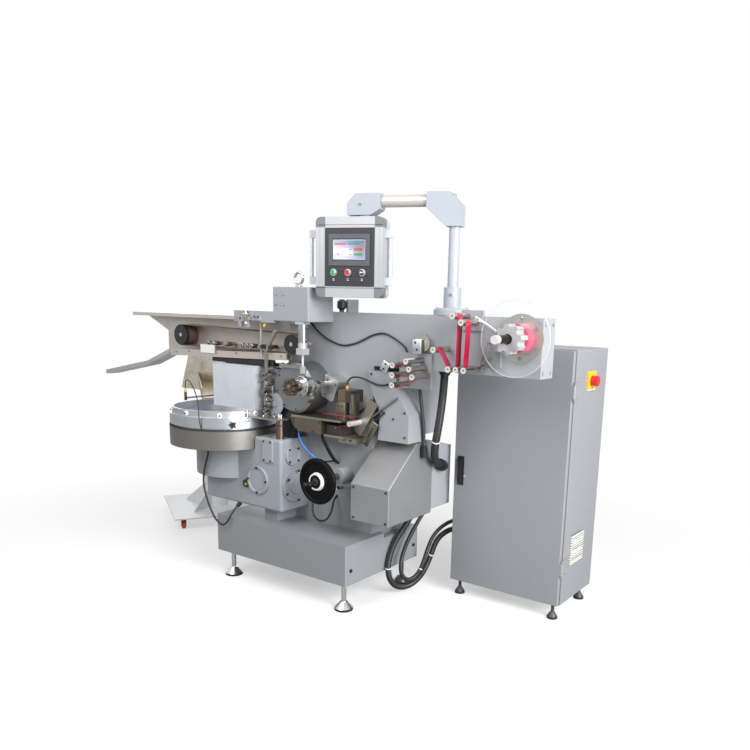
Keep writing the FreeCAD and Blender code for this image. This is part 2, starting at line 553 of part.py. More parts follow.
hopper = Part.makeLoft([square_wire(v.hopper_bottom_width, v.hopper_bottom),
                        square_wire(v.hopper_top_width, v.hopper_top)], True)
hollow = Part.makeLoft([square_wire(v.hopper_bottom_width - 2 * v.hopper_wall,
                                    v.hopper_bottom + v.hopper_floor),
                        square_wire(v.hopper_top_width - 2 * v.hopper_wall, v.hopper_top)], True)
hopper_shell = hopper.cut(hollow)
run = vec(v.drum_centre_across - v.stand_across, v.drum_centre_back - v.stand_back, 0)
run.normalize()
run_side = vec(-run.y, run.x, 0)
start = vec(v.stand_across, v.stand_back, 0) + run * (v.hopper_bottom_width / 4)
finish = vec(v.stand_across, v.stand_back, 0) + run * v.chute_reach
ring_top = bowl_top + v.ring_height
half_chute = v.chute_width / 2
chute_profile = [(-half_chute, 0), (half_chute, 0), (half_chute, v.chute_height),
                 (half_chute - v.chute_wall, v.chute_height), (half_chute - v.chute_wall, v.chute_wall),
                 (-half_chute + v.chute_wall, v.chute_wall), (-half_chute + v.chute_wall, v.chute_height),
                 (-half_chute, v.chute_height)]
chute_spots = [start + run_side * a + vec(0, 0, ring_top + 20 + b) for a, b in chute_profile]
chute = Part.Face(Part.makePolygon(chute_spots + chute_spots[:1]))
chute = chute.extrude(finish - start + vec(0, 0, -20))
shape_piece("hopper", Part.makeCompound([hopper_shell, chute.cut(hopper)]))

# Conveyor: a back plate held on the beam, two pulleys, one closed belt and a front bar.
conveyor_plate = outline("conveyor_sheet", "front", [
    ("conveyor_plate_tip", "tray_top - tray_sheet"), ("conveyor_plate_right", "tray_top - tray_sheet"),
    ("conveyor_plate_right", "conveyor_plate_bottom"), ("conveyor_plate_left", "conveyor_plate_bottom"),
    ("conveyor_plate_left", "conveyor_plate_knee"),
    ("conveyor_plate_tip", "tray_top - tray_lip")], "conveyor_plate_thickness",
    y="conveyor_plate_back")
conveyor_block = box("conveyor_block", "conveyor_plate_right - conveyor_bracket",
                     "conveyor_plate_back + conveyor_plate_thickness", "beam_bottom + conveyor_bracket",
                     "conveyor_bracket", "face_plane - conveyor_plate_back - conveyor_plate_thickness",
                     "2 * conveyor_bracket")
left_shaft = rod("left_shaft", "left_pulley_across", "conveyor_plate_back - pulley_gap - pulley_width",
                 "left_pulley_up", "pulley_shaft_radius", "pulley_gap + pulley_width", "y")
right_shaft = rod("right_shaft", "right_pulley_across",
                  "conveyor_plate_back - pulley_gap - pulley_width", "right_pulley_up",
                  "pulley_shaft_radius",
                  "face_plane - conveyor_plate_back + pulley_gap + pulley_width", "y")
piece(fuse("conveyor_fuse", [conveyor_plate, conveyor_block, left_shaft, right_shaft]),
      "conveyor_plate")
pulley_front = v.conveyor_plate_back - v.pulley_gap - v.pulley_width
left_axis = (v.left_pulley_across, v.left_pulley_up)
right_axis = (v.right_pulley_across, v.right_pulley_up)


def pulley(label, axis, radius):
    outside = tube(radius, v.pulley_width, (axis[0], pulley_front, axis[1]), (0, 1, 0))
    inside = tube(v.pulley_shaft_radius + v.shaft_clearance, v.pulley_width,
                  (axis[0], pulley_front, axis[1]), (0, 1, 0))
    return shape_piece(label, outside.cut(inside))


pulley("left_pulley", left_axis, v.left_pulley_radius)
pulley("right_pulley", right_axis, v.right_pulley_radius)


# The band's outline round both pulleys: two arcs joined by the outer tangents.
def band_face(first, first_radius, second, second_radius, back):
    run_across = second[0] - first[0]
    run_up = second[1] - first[1]
    distance = math.hypot(run_across, run_up)
    lean = math.atan2(run_up, run_across)
    opening = math.acos((first_radius - second_radius) / distance)

    def spot(centre, radius, angle):
        return vec(centre[0] + radius * math.cos(angle), back, centre[1] + radius * math.sin(angle))

    upper, lower = lean + opening, lean - opening
    far_left = Part.Arc(spot(first, first_radius, upper), spot(first, first_radius, lean + math.pi),
                        spot(first, first_radius, lower))
    far_right = Part.Arc(spot(second, second_radius, lower), spot(second, second_radius, lean),
                         spot(second, second_radius, upper))
    over = Part.LineSegment(spot(second, second_radius, upper), spot(first, first_radius, upper))
    under = Part.LineSegment(spot(first, first_radius, lower), spot(second, second_radius, lower))
    return Part.Face(Part.Wire([e.toShape() for e in (over, far_left, under, far_right)]))


belt_front = pulley_front + (v.pulley_width - v.belt_width) / 2
left_wrap = v.left_pulley_radius + v.shaft_clearance
right_wrap = v.right_pulley_radius + v.shaft_clearance
outer_band = band_face(left_axis, left_wrap + v.belt_thickness,
                       right_axis, right_wrap + v.belt_thickness, belt_front)
inner_band = band_face(left_axis, left_wrap, right_axis, right_wrap, belt_front)
belt_depth = vec(0, v.belt_width, 0)
shape_piece("conveyor_belt", outer_band.extrude(belt_depth).cut(inner_band.extrude(belt_depth)))

bar = outline("front_bar", "front", [
    ("bar_left", "bar_left_top - bar_height"), ("bar_right", "bar_right_top - bar_height"),
    ("bar_right", "bar_right_top"), ("bar_left", "bar_left_top")], "bar_thickness", y="bar_front")
bar_rods = [rod(f"bar_rod_{side}", f"bar_{side} {inward} 3 * bar_height",
                "bar_front + bar_thickness", f"bar_{side}_top - bar_height * 0.7", "idler_radius",
                "conveyor_plate_back - bar_front - bar_thickness", "y")
            for side, inward in (("left", "+"), ("right", "- bar_height -"))]
piece(fuse("bar_fuse", [bar] + bar_rods), "conveyor_bar")

def idler(across):
    return tube(v.idler_radius, v.conveyor_plate_back - v.bar_front - v.bar_thickness,
                (across, v.bar_front + v.bar_thickness, v.idler_up), (0, 1, 0))


idler_places = [v.idler_pair_across, v.idler_pair_across + v.idler_pair_pitch, v.idler_middle_across,
                v.idler_end_across, v.idler_end_across + v.idler_end_pitch]
idler_places += [v.idler_row_across + step * v.idler_row_pitch for step in range(3)]
mark_plate = block(v.mark_left, v.bar_front - v.mark_thickness, v.mark_bottom, v.mark_width,
                   v.mark_thickness, v.mark_top - v.mark_bottom)
gauge = block(v.gauge_left, v.bar_front - v.gauge_thickness, v.gauge_bottom, v.gauge_width,
              v.gauge_thickness, v.gauge_top - v.gauge_bottom)
gauge_foot = block(v.gauge_left, v.bar_front - v.gauge_foot, v.gauge_bottom, v.gauge_width,
                   v.gauge_foot - v.gauge_thickness, v.gauge_thickness)
clamp_front = v.bar_front - v.gauge_thickness - v.probe_clamp
probe_clamp = block(v.gauge_left, clamp_front, v.gauge_top - v.probe_clamp, 2 * v.probe_clamp,
                    v.probe_clamp, v.probe_clamp)
probe = tube(v.probe_radius, v.probe_length, (0, 0, 0))
probe.Placement = FreeCAD.Placement(
    vec(v.gauge_left + v.probe_clamp, clamp_front + v.probe_clamp / 2, v.gauge_top - v.probe_clamp),
    FreeCAD.Rotation(vec(0, 1, 0), v.probe_turn))
gauge = gauge.fuse([gauge_foot, probe_clamp, probe]).removeSplitter()
shape_piece("conveyor_fittings",
            Part.makeCompound([idler(across) for across in idler_places] + [mark_plate, gauge]))

tray_top_sheet = box("tray_top_sheet", "tray_left", "tray_front", "tray_top - tray_sheet",
                     "tray_right - tray_left",
                     "conveyor_plate_back + conveyor_plate_thickness - tray_front", "tray_sheet")
tray_lip = box("tray_front_lip", "tray_left", "tray_front", "tray_top - tray_lip",
               "tray_right - tray_left", "tray_sheet", "tray_lip")
piece(fuse("tray_fuse", [tray_top_sheet, tray_lip]), "feed_tray")

slide_back = v.conveyor_plate_back
slide_front = v.bar_front + v.bar_thickness + v.joint_gap
slide_line = [(v.slide_start, v.slide_start_up), (v.slide_knee, v.slide_knee_up),
              (v.slide_end, v.slide_end_up)]


def slide_strip(low, high, front, back):
    under = [vec(a, front, b + low) for a, b in slide_line]
    over = [vec(a, front, b + high) for a, b in reversed(slide_line)]
    spots = under + over
    return Part.Face(Part.makePolygon(spots + spots[:1])).extrude(vec(0, back - front, 0))


slide = slide_strip(0, v.slide_sheet, slide_front, slide_back)
slide = slide.fuse([slide_strip(0, v.slide_wall, slide_front, slide_front + v.slide_sheet),
                    slide_strip(0, v.slide_wall, slide_back - v.slide_sheet, slide_back)])
shape_piece("discharge_slide", slide.removeSplitter())

# Upper housing with the pusher arm, the eye bolt and the air cylinder below it.
housing_box = box("housing_box", "housing_left", "housing_front", "housing_bottom",
                  "housing_right - housing_left", "face_plane - housing_front",
                  "housing_top - housing_bottom")
housing_back = v.face_plane - v.foot_inset
housing_side = v.housing_left - v.foot_inset
piece(rounded("housing_rounded", housing_box, v.housing_corner,
              lambda reach: reach.YMin < housing_back - 1 and reach.XMax > housing_side + 1),
      "upper_housing")
pusher = block(v.pusher_left, v.pusher_front, v.pusher_bottom, v.housing_left - v.pusher_left,
               v.pusher_thickness, v.pusher_height)
grip = block(v.grip_left, v.pusher_front - v.grip_thickness, v.grip_bottom, v.grip_width,
             v.grip_thickness, v.grip_top - v.grip_bottom)
grip = grip.cut(block(v.grip_left + v.grip_width / 2 - v.grip_slot / 2,
                      v.pusher_front - v.grip_thickness, v.grip_bottom, v.grip_slot,
                      v.grip_thickness, v.grip_slot_height))
carrier = block(v.grip_left + v.grip_width, v.pusher_front - v.grip_thickness,
                v.grip_top - v.carrier_height, v.carrier_width, v.grip_thickness, v.carrier_height)
for share in (0.3, 0.7):
    carrier = carrier.cut(tube(
        v.carrier_hole, v.grip_thickness,
        (v.grip_left + v.grip_width + v.carrier_width * share, v.pusher_front - v.grip_thickness,
         v.grip_top - v.carrier_height / 2), (0, 1, 0)))
feeler = tube(v.feeler_radius, v.pusher_bottom - v.feeler_bottom,
              (v.feeler_across, v.pusher_front + v.pusher_thickness / 2, v.feeler_bottom))
shape_piece("pusher_arm", pusher.fuse([grip, carrier, feeler]).removeSplitter())
eye = Part.makeTorus(v.eye_radius, v.eye_wire, vec(0, 0, 0), vec(0, 1, 0))
eye.translate(vec(v.eye_across, v.eye_back,
                  v.housing_top + v.eye_shank + v.eye_radius + v.eye_wire))
eye = eye.fuse(tube(v.eye_seat, v.eye_shank, (v.eye_across, v.eye_back, v.housing_top)))
eye = eye.fuse(tube(v.eye_wire, v.eye_shank + v.eye_wire, (v.eye_across, v.eye_back, v.housing_top)))
shape_piece("eye_bolt", eye.removeSplitter())
cylinder_top = v.housing_bottom - v.cylinder_plate_thickness
cylinder = block(v.cylinder_across - v.cylinder_plate / 2, v.cylinder_back - v.cylinder_plate / 2,
                 cylinder_top, v.cylinder_plate, v.cylinder_plate, v.cylinder_plate_thickness)
cylinder = cylinder.fuse([
    tube(v.cylinder_radius, cylinder_top - v.cylinder_bottom,
         (v.cylinder_across, v.cylinder_back, v.cylinder_bottom)),
    block(v.cylinder_across - v.cylinder_radius, v.cylinder_back - v.cylinder_radius,
          v.cylinder_bottom - v.cylinder_cap, 2 * v.cylinder_radius, 2 * v.cylinder_radius,
          v.cylinder_cap),
    tube(v.cylinder_rod_radius, v.cylinder_bottom - v.cylinder_cap - v.cylinder_rod_bottom,
         (v.cylinder_across, v.cylinder_back, v.cylinder_rod_bottom)),
    block(v.cylinder_across - v.clevis_side / 2, v.cylinder_back - v.clevis_side / 2,
          v.cylinder_rod_bottom - v.clevis_height, v.clevis_side, v.clevis_side, v.clevis_height)])
regulator_low = v.regulator_height / 6
regulator = turning([
    (0, v.beam_top), (v.regulator_radius / 2, v.beam_top),
    (v.regulator_radius / 2, v.beam_top + regulator_low),
    (v.regulator_radius, v.beam_top + 2 * regulator_low),
    (v.regulator_radius, v.beam_top + 5 * regulator_low),
    (v.regulator_radius / 2, v.beam_top + v.regulator_height), (0, v.beam_top + v.regulator_height)],
    v.regulator_across, v.regulator_back)
tag = block(v.tag_left, v.regulator_back - v.tag_thickness / 2, v.beam_top, v.tag_width,
            v.tag_thickness, v.tag_height)
shape_piece("air_cylinder", Part.makeCompound([cylinder.removeSplitter(), regulator, tag]))

# Wrapping head: a round housing on the column and the gripper rotor that spins in it.
head_depth = v.face_plane - v.head_front
head_body = lid([
    (0, 0), (v.head_radius, 0), (v.head_radius, head_depth - v.head_bevel),
    (v.head_radius - v.head_bevel, head_depth), (0, head_depth)],
    (v.head_across, v.face_plane, v.head_up), (0, -1, 0))
collar_front = v.rotor_front + v.rotor_thickness + v.collar_gap
rotor_collar = tube(v.collar_radius, v.head_front - collar_front,
                    (v.rotor_across, collar_front, v.rotor_up), (0, 1, 0))
end_stop = tube(v.stop_radius, v.stop_length + v.head_bevel,
                (v.stop_across, v.head_front - v.stop_length, v.stop_up), (0, 1, 0))
rotor_bore = tube(v.rotor_shaft_radius + v.shaft_clearance, v.face_plane - collar_front,
                  (v.rotor_across, collar_front, v.rotor_up), (0, 1, 0))
head_solid = head_body.fuse([rotor_collar, end_stop]).cut(rotor_bore).removeSplitter()
motor = block(-v.tilt_box_width / 2, 0, -v.tilt_box_height / 2, v.tilt_box_width, v.tilt_box_depth,
              v.tilt_box_height)
motor = soften(motor, v.head_bevel, lambda reach: reach.YLength > v.tilt_box_depth - 0.01
               and reach.XLength < 0.01)
motor.rotate(vec(0, 0, 0), vec(0, 1, 0), v.tilt_box_turn)
motor.translate(vec(v.tilt_box_across, v.face_plane - v.tilt_box_depth, v.tilt_box_up))
shape_piece("head_housing", Part.makeCompound([head_solid, motor]))

# The rotor: a shaft, a bevelled face ring, a boss and the gripper hub with its jaws.
face_back = v.rotor_thickness
boss_front = -v.rotor_boss_length
hub_front = boss_front - v.gripper_width
rotor_profile = [
    (0, hub_front), (v.gripper_hub_radius, hub_front), (v.gripper_hub_radius, boss_front),
    (v.rotor_boss_radius, boss_front), (v.rotor_boss_radius, 0), (v.rotor_radius - v.rotor_bevel, 0),
    (v.rotor_radius, v.rotor_bevel), (v.rotor_radius, face_back), (v.rotor_shaft_radius, face_back),
    (v.rotor_shaft_radius, v.face_plane - 5 - v.rotor_front), (0, v.face_plane - 5 - v.rotor_front)]
rotor = lid(rotor_profile, (v.rotor_across, v.rotor_front, v.rotor_up), (0, 1, 0))
jaw_profile = [
    (v.gripper_hub_radius - v.jaw_thickness / 2, -v.jaw_thickness / 2),
    (v.gripper_radius - v.jaw_thickness, -v.jaw_thickness / 2), (v.gripper_radius, -v.jaw_thickness),
    (v.gripper_radius, -v.jaw_thickness / 5), (v.gripper_radius - v.jaw_thickness, v.jaw_thickness / 2),
    (v.gripper_hub_radius - v.jaw_thickness / 2, v.jaw_thickness / 2)]
jaw_middle = v.rotor_front + hub_front + v.gripper_width / 2
jaws = []
for number in range(int(v.jaw_count)):
    spots = [vec(a, -v.jaw_width / 2, b) for a, b in jaw_profile]
    jaw = Part.Face(Part.makePolygon(spots + spots[:1])).extrude(vec(0, v.jaw_width, 0))
    jaw_pin = tube(v.jaw_pin_radius, v.jaw_width + 2 * v.jaw_pin_length,
                   ((v.gripper_hub_radius + v.gripper_radius) / 2, -v.jaw_width / 2 - v.jaw_pin_length, 0),
                   (0, 1, 0))
    jaw = jaw.fuse(jaw_pin)
    jaw.rotate(vec(0, 0, 0), vec(0, 1, 0), 45 + 360 * number / v.jaw_count)
    jaw.translate(vec(v.rotor_across, jaw_middle, v.rotor_up))
    jaws.append(jaw)
shape_piece("gripper_rotor", rotor.fuse(jaws).removeSplitter())

# Linkage by the head: the cylinder's lever on its shaft, an oval flange and the candy feed block.
lever_right = v.cylinder_across - v.clevis_side / 2
lever_back = v.cylinder_back - v.lever_arm_thickness / 2
lever_arm = block(v.lever_arm_left, lever_back, v.lever_arm_up - v.lever_arm_height / 2,
                  lever_right - v.lever_arm_left, v.lever_arm_thickness, v.lever_arm_height)
lever_boss = tube(v.lever_arm_boss, v.lever_arm_thickness, (v.lever_arm_left, lever_back, v.lever_arm_up),
                  (0, 1, 0))
lever_shaft = tube(v.lever_shaft_radius, v.head_front + v.head_bevel - lever_back,
                   (v.lever_arm_left, lever_back, v.lever_arm_up), (0, 1, 0))
lever_whole = lever_arm.fuse([lever_boss, lever_shaft]).cut(head_body).removeSplitter()
half_oval = v.oval_length / 2 - v.oval_radius
oval = block(-half_oval, 0, -v.oval_radius, 2 * half_oval, v.oval_thickness, 2 * v.oval_radius)
oval = oval.fuse([tube(v.oval_radius, v.oval_thickness, (end, 0, 0), (0, 1, 0))
                  for end in (-half_oval, half_oval)])
oval = oval.cut(tube(v.oval_hole_radius, v.oval_thickness, (-half_oval, 0, 0), (0, 1, 0)))
oval = oval.cut(tube(v.oval_hole_radius, v.oval_thickness, (-half_oval / 4, 0, 0), (0, 1, 0)))
oval_post = tube(v.oval_post_radius, v.face_plane - v.tilt_box_depth - v.oval_front, (half_oval, 0, 0),
                 (0, 1, 0))
oval = oval.fuse(oval_post).removeSplitter()
oval.rotate(vec(0, 0, 0), vec(0, 1, 0), -v.oval_turn)
oval.translate(vec(v.oval_across, v.oval_front, v.oval_up))
feed_block = block(v.feed_block_left, v.feed_block_front, v.feed_block_bottom, v.feed_block_width,
                   v.face_plane - v.feed_block_front, v.feed_block_height)
nozzle_across = v.feed_block_left + v.feed_block_width / 2
nozzles = [tube(v.nozzle_radius, v.nozzle_length,
                (nozzle_across, v.feed_block_front - v.nozzle_length,
                 v.feed_block_bottom + v.feed_block_height / 2 + step * v.nozzle_pitch), (0, 1, 0))
           for step in (-1, 0, 1)]
shape_piece("head_linkage", Part.makeCompound(
    [lever_whole, oval, feed_block.fuse(nozzles).removeSplitter()]))
piece(outline("knife_outline", "front", [
    ("knife_left + knife_chamfer", "knife_bottom"), ("knife_right", "knife_bottom"),
    ("knife_right", "knife_top"), ("knife_left", "knife_top"),
    ("knife_left", "knife_bottom + knife_chamfer")], "face_plane - knife_front",
    y="knife_front"), "knife_housing")
knife_plate = block(v.knife_left, v.knife_front, v.knife_top, v.knife_plate_right - v.knife_left,
                    v.face_plane - v.knife_front, v.knife_plate)
clamp_box = block(v.clamp_left, v.clamp_front, v.clamp_bottom, v.clamp_right - v.clamp_left,
                  v.face_plane - v.clamp_front, v.clamp_top - v.clamp_bottom)
film_base = block(v.clamp_left, v.film_base_front, v.clamp_bottom - v.film_base_thickness,
                  v.film_base_right - v.clamp_left, v.face_plane - v.film_base_front,
                  v.film_base_thickness)
film_block = block(v.film_block_left, v.film_block_front,
                   v.clamp_bottom - v.film_base_thickness - v.film_block_height, v.film_block_width,
                   v.face_plane - v.film_block_front, v.film_block_height)
feed_roller = tube(v.roller_radius, v.guide_back - v.feed_roller_front,
                   (v.feed_roller_across, v.feed_roller_front, v.feed_roller_up), (0, 1, 0))
film_bed = clamp_box.fuse([film_base, film_block]).removeSplitter()
guide_run = vec(v.guide_high_across - v.guide_low_across, 0, v.guide_high_up - v.guide_low_up)
guide_length = guide_run.Length
guide = block(0, 0, -v.guide_width / 2, guide_length, v.guide_thickness, v.guide_width)
guide.rotate(vec(0, 0, 0), vec(0, 1, 0), -math.degrees(math.atan2(guide_run.z, guide_run.x)))
guide.translate(vec(v.guide_low_across, v.guide_back, v.guide_low_up))
guide_posts = []
for share in (0.1, 0.5):
    spot = vec(v.guide_low_across, 0, v.guide_low_up) + guide_run * share
    guide_posts.append(tube(v.guide_post_radius, v.face_plane - v.guide_back,
                            (spot.x, v.guide_back, spot.z), (0, 1, 0)))
sensor = block(v.sensor_left, v.sensor_front, v.sensor_bottom, v.sensor_width,
               v.face_plane - v.sensor_front, v.sensor_height)
shape_piece("film_guide", Part.makeCompound(
    [guide.fuse(guide_posts).removeSplitter(), sensor, knife_plate, film_bed, feed_roller]))

# Handwheel on its shaft, which turns in a boss on the column.
rim = Part.makeTorus(v.rim_radius - v.rim_wire, v.rim_wire, vec(v.wheel_across, v.wheel_back, v.wheel_up),
                     vec(0, 1, 0))
hub = tube(v.hub_radius, v.hub_length, (v.wheel_across, v.wheel_back - v.hub_length / 2, v.wheel_up),
           (0, 1, 0))
disc = tube(v.rim_radius - v.rim_wire, v.rim_wire / 2,
            (v.wheel_across, v.wheel_back - v.rim_wire / 4, v.wheel_up), (0, 1, 0))
shaft = tube(v.shaft_radius, v.face_plane - 5 - v.wheel_back, (v.wheel_across, v.wheel_back, v.wheel_up),
             (0, 1, 0))
shape_piece("handwheel", rim.fuse([hub, disc, shaft]).removeSplitter())

# Sheet covers at the right: the outlet hood, the tall cover over it and the two rear boxes.
hood = outline("hood_outline", "side", [
    ("hood_front", "hood_bottom"), ("hood_back", "hood_bottom"), ("hood_back", "hood_top"),
    ("hood_knee", "hood_top"), ("hood_front", "hood_step")], "hood_right - hood_left", x="hood_left")
hood_side = v.hood_left - v.foot_inset
hood_rear = v.hood_back - v.foot_inset
piece(rounded("hood_rounded", hood, v.sheet_corner,
              lambda reach: reach.XMax > hood_side + 1 and reach.YMin < hood_rear - 1), "outlet_hood")
cover = outline("cover_outline", "front", [
    ("cover_left", "cover_bottom"), ("cover_right", "cover_bottom"), ("cover_right", "cover_shoulder"),
    ("cover_top_right", "cover_shoulder + (cover_top - cover_shoulder) * 0.6"),
    ("cover_top_right", "cover_top"), ("cover_top_left", "cover_top"),
    ("cover_top_left + 8", "cover_shoulder + (cover_top - cover_shoulder) * 0.6"),
    ("cover_left + 12", "cover_shoulder")], "rear_front - cover_front", y="cover_front")
column_room = box("column_room", "column_left", "face_plane - column_gap", "cover_bottom - 10",
                  "column_right - column_left + column_gap", "column_depth", "cover_top")
piece(cut("cover_cut", cover, column_room), "outlet_cover")
rear_box = block(v.column_right, v.rear_front, v.rear_bottom, v.rear_right - v.column_right,
                 v.rear_back - v.rear_front, v.beam_bottom - v.rear_bottom)
rear_box = soften(rear_box, v.sheet_corner, lambda reach: upright(reach) and reach.YMin > v.rear_front + 1
                  and reach.XMin > v.column_right + 1)
low_rear_corners = [vec(v.hood_left, across, up) for across, up in (
    (v.hood_back, v.low_rear_bottom), (v.low_rear_back, v.low_rear_bottom),
    (v.low_rear_back, v.hood_top - v.low_rear_slope), (v.hood_back, v.hood_top))]
low_rear = Part.Face(Part.makePolygon(low_rear_corners + low_rear_corners[:1]))
low_rear = low_rear.extrude(vec(v.hood_right - v.hood_left, 0, 0))
low_rear = soften(low_rear, v.sheet_corner, lambda reach: reach.YMin > v.low_rear_back - 1)
shape_piece("rear_covers", Part.makeCompound([rear_box, low_rear]))

# Film path: rollers that stand out of the beam, two plates that carry the outer ones and a boss.
reel_across = v.beam_right - v.reel_inset
plate_front = v.face_plane - v.roller_plate_thickness
stair_across = reel_across - v.stair_from_reel
low_across = reel_across - v.low_rollers_from_reel
high_across = reel_across - v.high_roller_from_reel
turn_across = reel_across - v.turn_roller_from_reel


def roller(across, up, back):
    whole = tube(v.roller_radius, back - v.roller_front, (across, v.roller_front, up), (0, 1, 0))
    return whole.cut(tube(v.roller_bore, v.roller_bore_depth, (across, v.roller_front, up), (0, 1, 0)))


rollers = [roller(turn_across, v.turn_roller_up, v.face_plane),
           roller(high_across, v.high_roller_up, plate_front),
           roller(high_across + v.high_roller_run, v.high_roller_up - v.high_roller_drop, plate_front)]
for step in range(3):
    rollers.append(roller(low_across + step * v.low_rollers_pitch, v.low_rollers_up, v.face_plane))
    rollers.append(roller(reel_across - v.cluster_from_reel, v.cluster_up + step * v.cluster_pitch,
                          plate_front))
    rollers.append(roller(stair_across + step * v.stair_run, v.stair_up - step * v.stair_drop,
                          plate_front))
boss_across = reel_across - v.boss_from_reel
boss = tube(v.boss_radius, v.boss_depth, (boss_across, v.face_plane - v.boss_depth, v.boss_up), (0, 1, 0))
boss = boss.cut(tube(v.boss_bore, v.boss_depth / 2, (boss_across, v.face_plane - v.boss_depth, v.boss_up),
                     (0, 1, 0)))
low_plate = block(reel_across - v.low_plate_from_reel, plate_front, v.low_plate_bottom,
                  v.low_plate_width, v.roller_plate_thickness, v.low_plate_top - v.low_plate_bottom)
high_plate = block(reel_across - v.high_plate_from_reel, plate_front, v.high_plate_bottom,
                   v.high_plate_width, v.roller_plate_thickness, v.high_plate_top - v.high_plate_bottom)
edge_sensor = block(reel_across - v.edge_sensor_from_reel, v.face_plane - v.edge_sensor_depth,
                    v.edge_sensor_bottom, v.edge_sensor_width, v.edge_sensor_depth,
                    v.edge_sensor_height)
reel_shaft = tube(v.reel_shaft_radius, v.face_plane - v.reel_shaft_front,
                  (reel_across, v.reel_shaft_front, v.reel_up), (0, 1, 0))
shape_piece("film_rollers", Part.makeCompound(
    rollers + [boss, low_plate, high_plate, edge_sensor, reel_shaft]))


# A flat run of film from one roller's side to the next.
def film_run(first, second):
    line = vec(second[0] - first[0], 0, second[1] - first[1])
    length = line.Length
    lean = math.degrees(math.atan2(line.z, line.x))
    strip = block(0, 0, -v.film_thickness / 2, length, v.film_width, v.film_thickness)
    strip.rotate(vec(0, 0, 0), vec(0, 1, 0), -lean)
    strip.translate(vec(first[0], v.film_front, first[1]))
    return strip


side = v.roller_radius + v.film_thickness / 2 + v.reel_clearance
low_middle = low_across + v.low_rollers_pitch
low_last = low_middle + v.low_rollers_pitch
runs = [film_run((high_across + side, v.high_roller_up), (low_middle - side, v.low_rollers_up)),
        film_run((high_across + v.high_roller_run + side, v.high_roller_up - v.high_roller_drop),
                 (low_last - side, v.low_rollers_up)),
        film_run((turn_across + side, v.turn_roller_up), (low_across - side, v.low_rollers_up)),
        film_run((v.clamp_right + v.film_thickness, v.feed_roller_up - side),
                 (v.feed_roller_across, v.feed_roller_up - side))]
shape_piece("film_web", Part.makeCompound(runs))

# Film reel on its fixed shaft: the steel disc, the film, the clear disc and the knob.
def ring_piece(radius, bore, front, back):
    outside = tube(radius, back - front, (reel_across, front, v.reel_up), (0, 1, 0))
    inside = tube(bore, back - front, (reel_across, front, v.reel_up), (0, 1, 0))
    return outside.cut(inside)


# The same round cut repeated on a circle about the reel's axis.
def pierced(shape, count, radius, circle, front, depth):
    for number in range(int(count)):
        angle = math.radians(30 + 360 * number / count)
        shape = shape.cut(tube(radius, depth, (reel_across + circle * math.cos(angle), front,
                                               v.reel_up + circle * math.sin(angle)), (0, 1, 0)))
    return shape


steel_front = v.steel_disc_back - v.steel_disc_thickness
film_front = steel_front - v.film_roll_width
clear_front = film_front - v.clear_disc_thickness
bore_radius = v.reel_shaft_radius + v.reel_clearance
steel_disc = ring_piece(v.steel_disc_radius, bore_radius, steel_front, v.steel_disc_back)
shape_piece("reel_disc", pierced(steel_disc, v.disc_holes, v.disc_hole_radius, v.disc_hole_circle,
                                 steel_front, v.steel_disc_thickness))
shape_piece("film_roll", ring_piece(v.film_roll_radius, bore_radius, film_front, steel_front))
shape_piece("clear_disc", ring_piece(v.clear_disc_radius, bore_radius, clear_front, film_front))
knob = ring_piece(v.knob_radius, bore_radius, clear_front - v.knob_length, clear_front)
shape_piece("reel_knob", pierced(knob, v.knob_scallops, v.scallop_radius, v.knob_radius + 2,
                                 clear_front - v.knob_length, v.knob_length))

# Operator panel on its arm: a post on the beam, an arm that swings and a panel that turns.
flange_top = v.beam_top + v.flange_height
sleeve_top = v.beam_top + v.sleeve_height
shape_piece("panel_post", turning([
    (0, v.beam_top), (v.flange_radius, v.beam_top), (v.flange_radius, flange_top - v.flange_chamfer),
    (v.flange_radius - v.flange_chamfer, flange_top), (v.sleeve_radius, flange_top),
    (v.sleeve_radius, sleeve_top), (v.post_radius, sleeve_top),
    (v.post_radius, v.elbow_bottom - v.joint_gap), (0, v.elbow_bottom - v.joint_gap)],
    v.post_across, v.post_back))
arm_turn = FreeCAD.Rotation(vec(0, 0, 1), v.arm_angle)
arm_place = FreeCAD.Placement(vec(v.post_across, v.post_back, 0), arm_turn)
half_elbow = v.elbow_width / 2


# An elbow housing: a profile in the arm's plane with one slanted corner, as thick as the elbow.
def elbow(corners):
    spots = [vec(a, -half_elbow, b) for a, b in corners]
    return Part.Face(Part.makePolygon(spots + spots[:1])).extrude(vec(0, v.elbow_width, 0))


post_elbow = elbow([
    (half_elbow, v.elbow_bottom), (half_elbow, v.elbow_top - v.elbow_chamfer),
    (half_elbow - v.elbow_chamfer, v.elbow_top), (half_elbow - v.elbow_length, v.elbow_top),
    (half_elbow - v.elbow_length, v.arm_up - v.arm_radius - half_elbow / 4),
    (-half_elbow, v.elbow_bottom)])
drop_elbow = elbow([
    (-v.arm_length + v.drop_length / 2, v.drop_top),
    (-v.arm_length - v.drop_length / 2 + v.drop_chamfer, v.drop_top),
    (-v.arm_length - v.drop_length / 2, v.drop_top - v.drop_chamfer),
    (-v.arm_length - v.drop_length / 2, v.drop_bottom),
    (-v.arm_length + half_elbow, v.drop_bottom),
    (-v.arm_length + v.drop_length / 2, v.arm_up - v.arm_radius - half_elbow / 4)])
arm = post_elbow.fuse([drop_elbow, tube(v.arm_radius, v.arm_length, (-v.arm_length, 0, v.arm_up),
                                        (1, 0, 0))])
arm.Placement = arm_place
shape_piece("panel_arm", arm.removeSplitter())
panel_place = arm_place.multiply(FreeCAD.Placement(vec(-v.arm_length, 0, 0), FreeCAD.Rotation()))


def on_panel(shape):
    shape.Placement = panel_place.multiply(shape.Placement)
    return shape


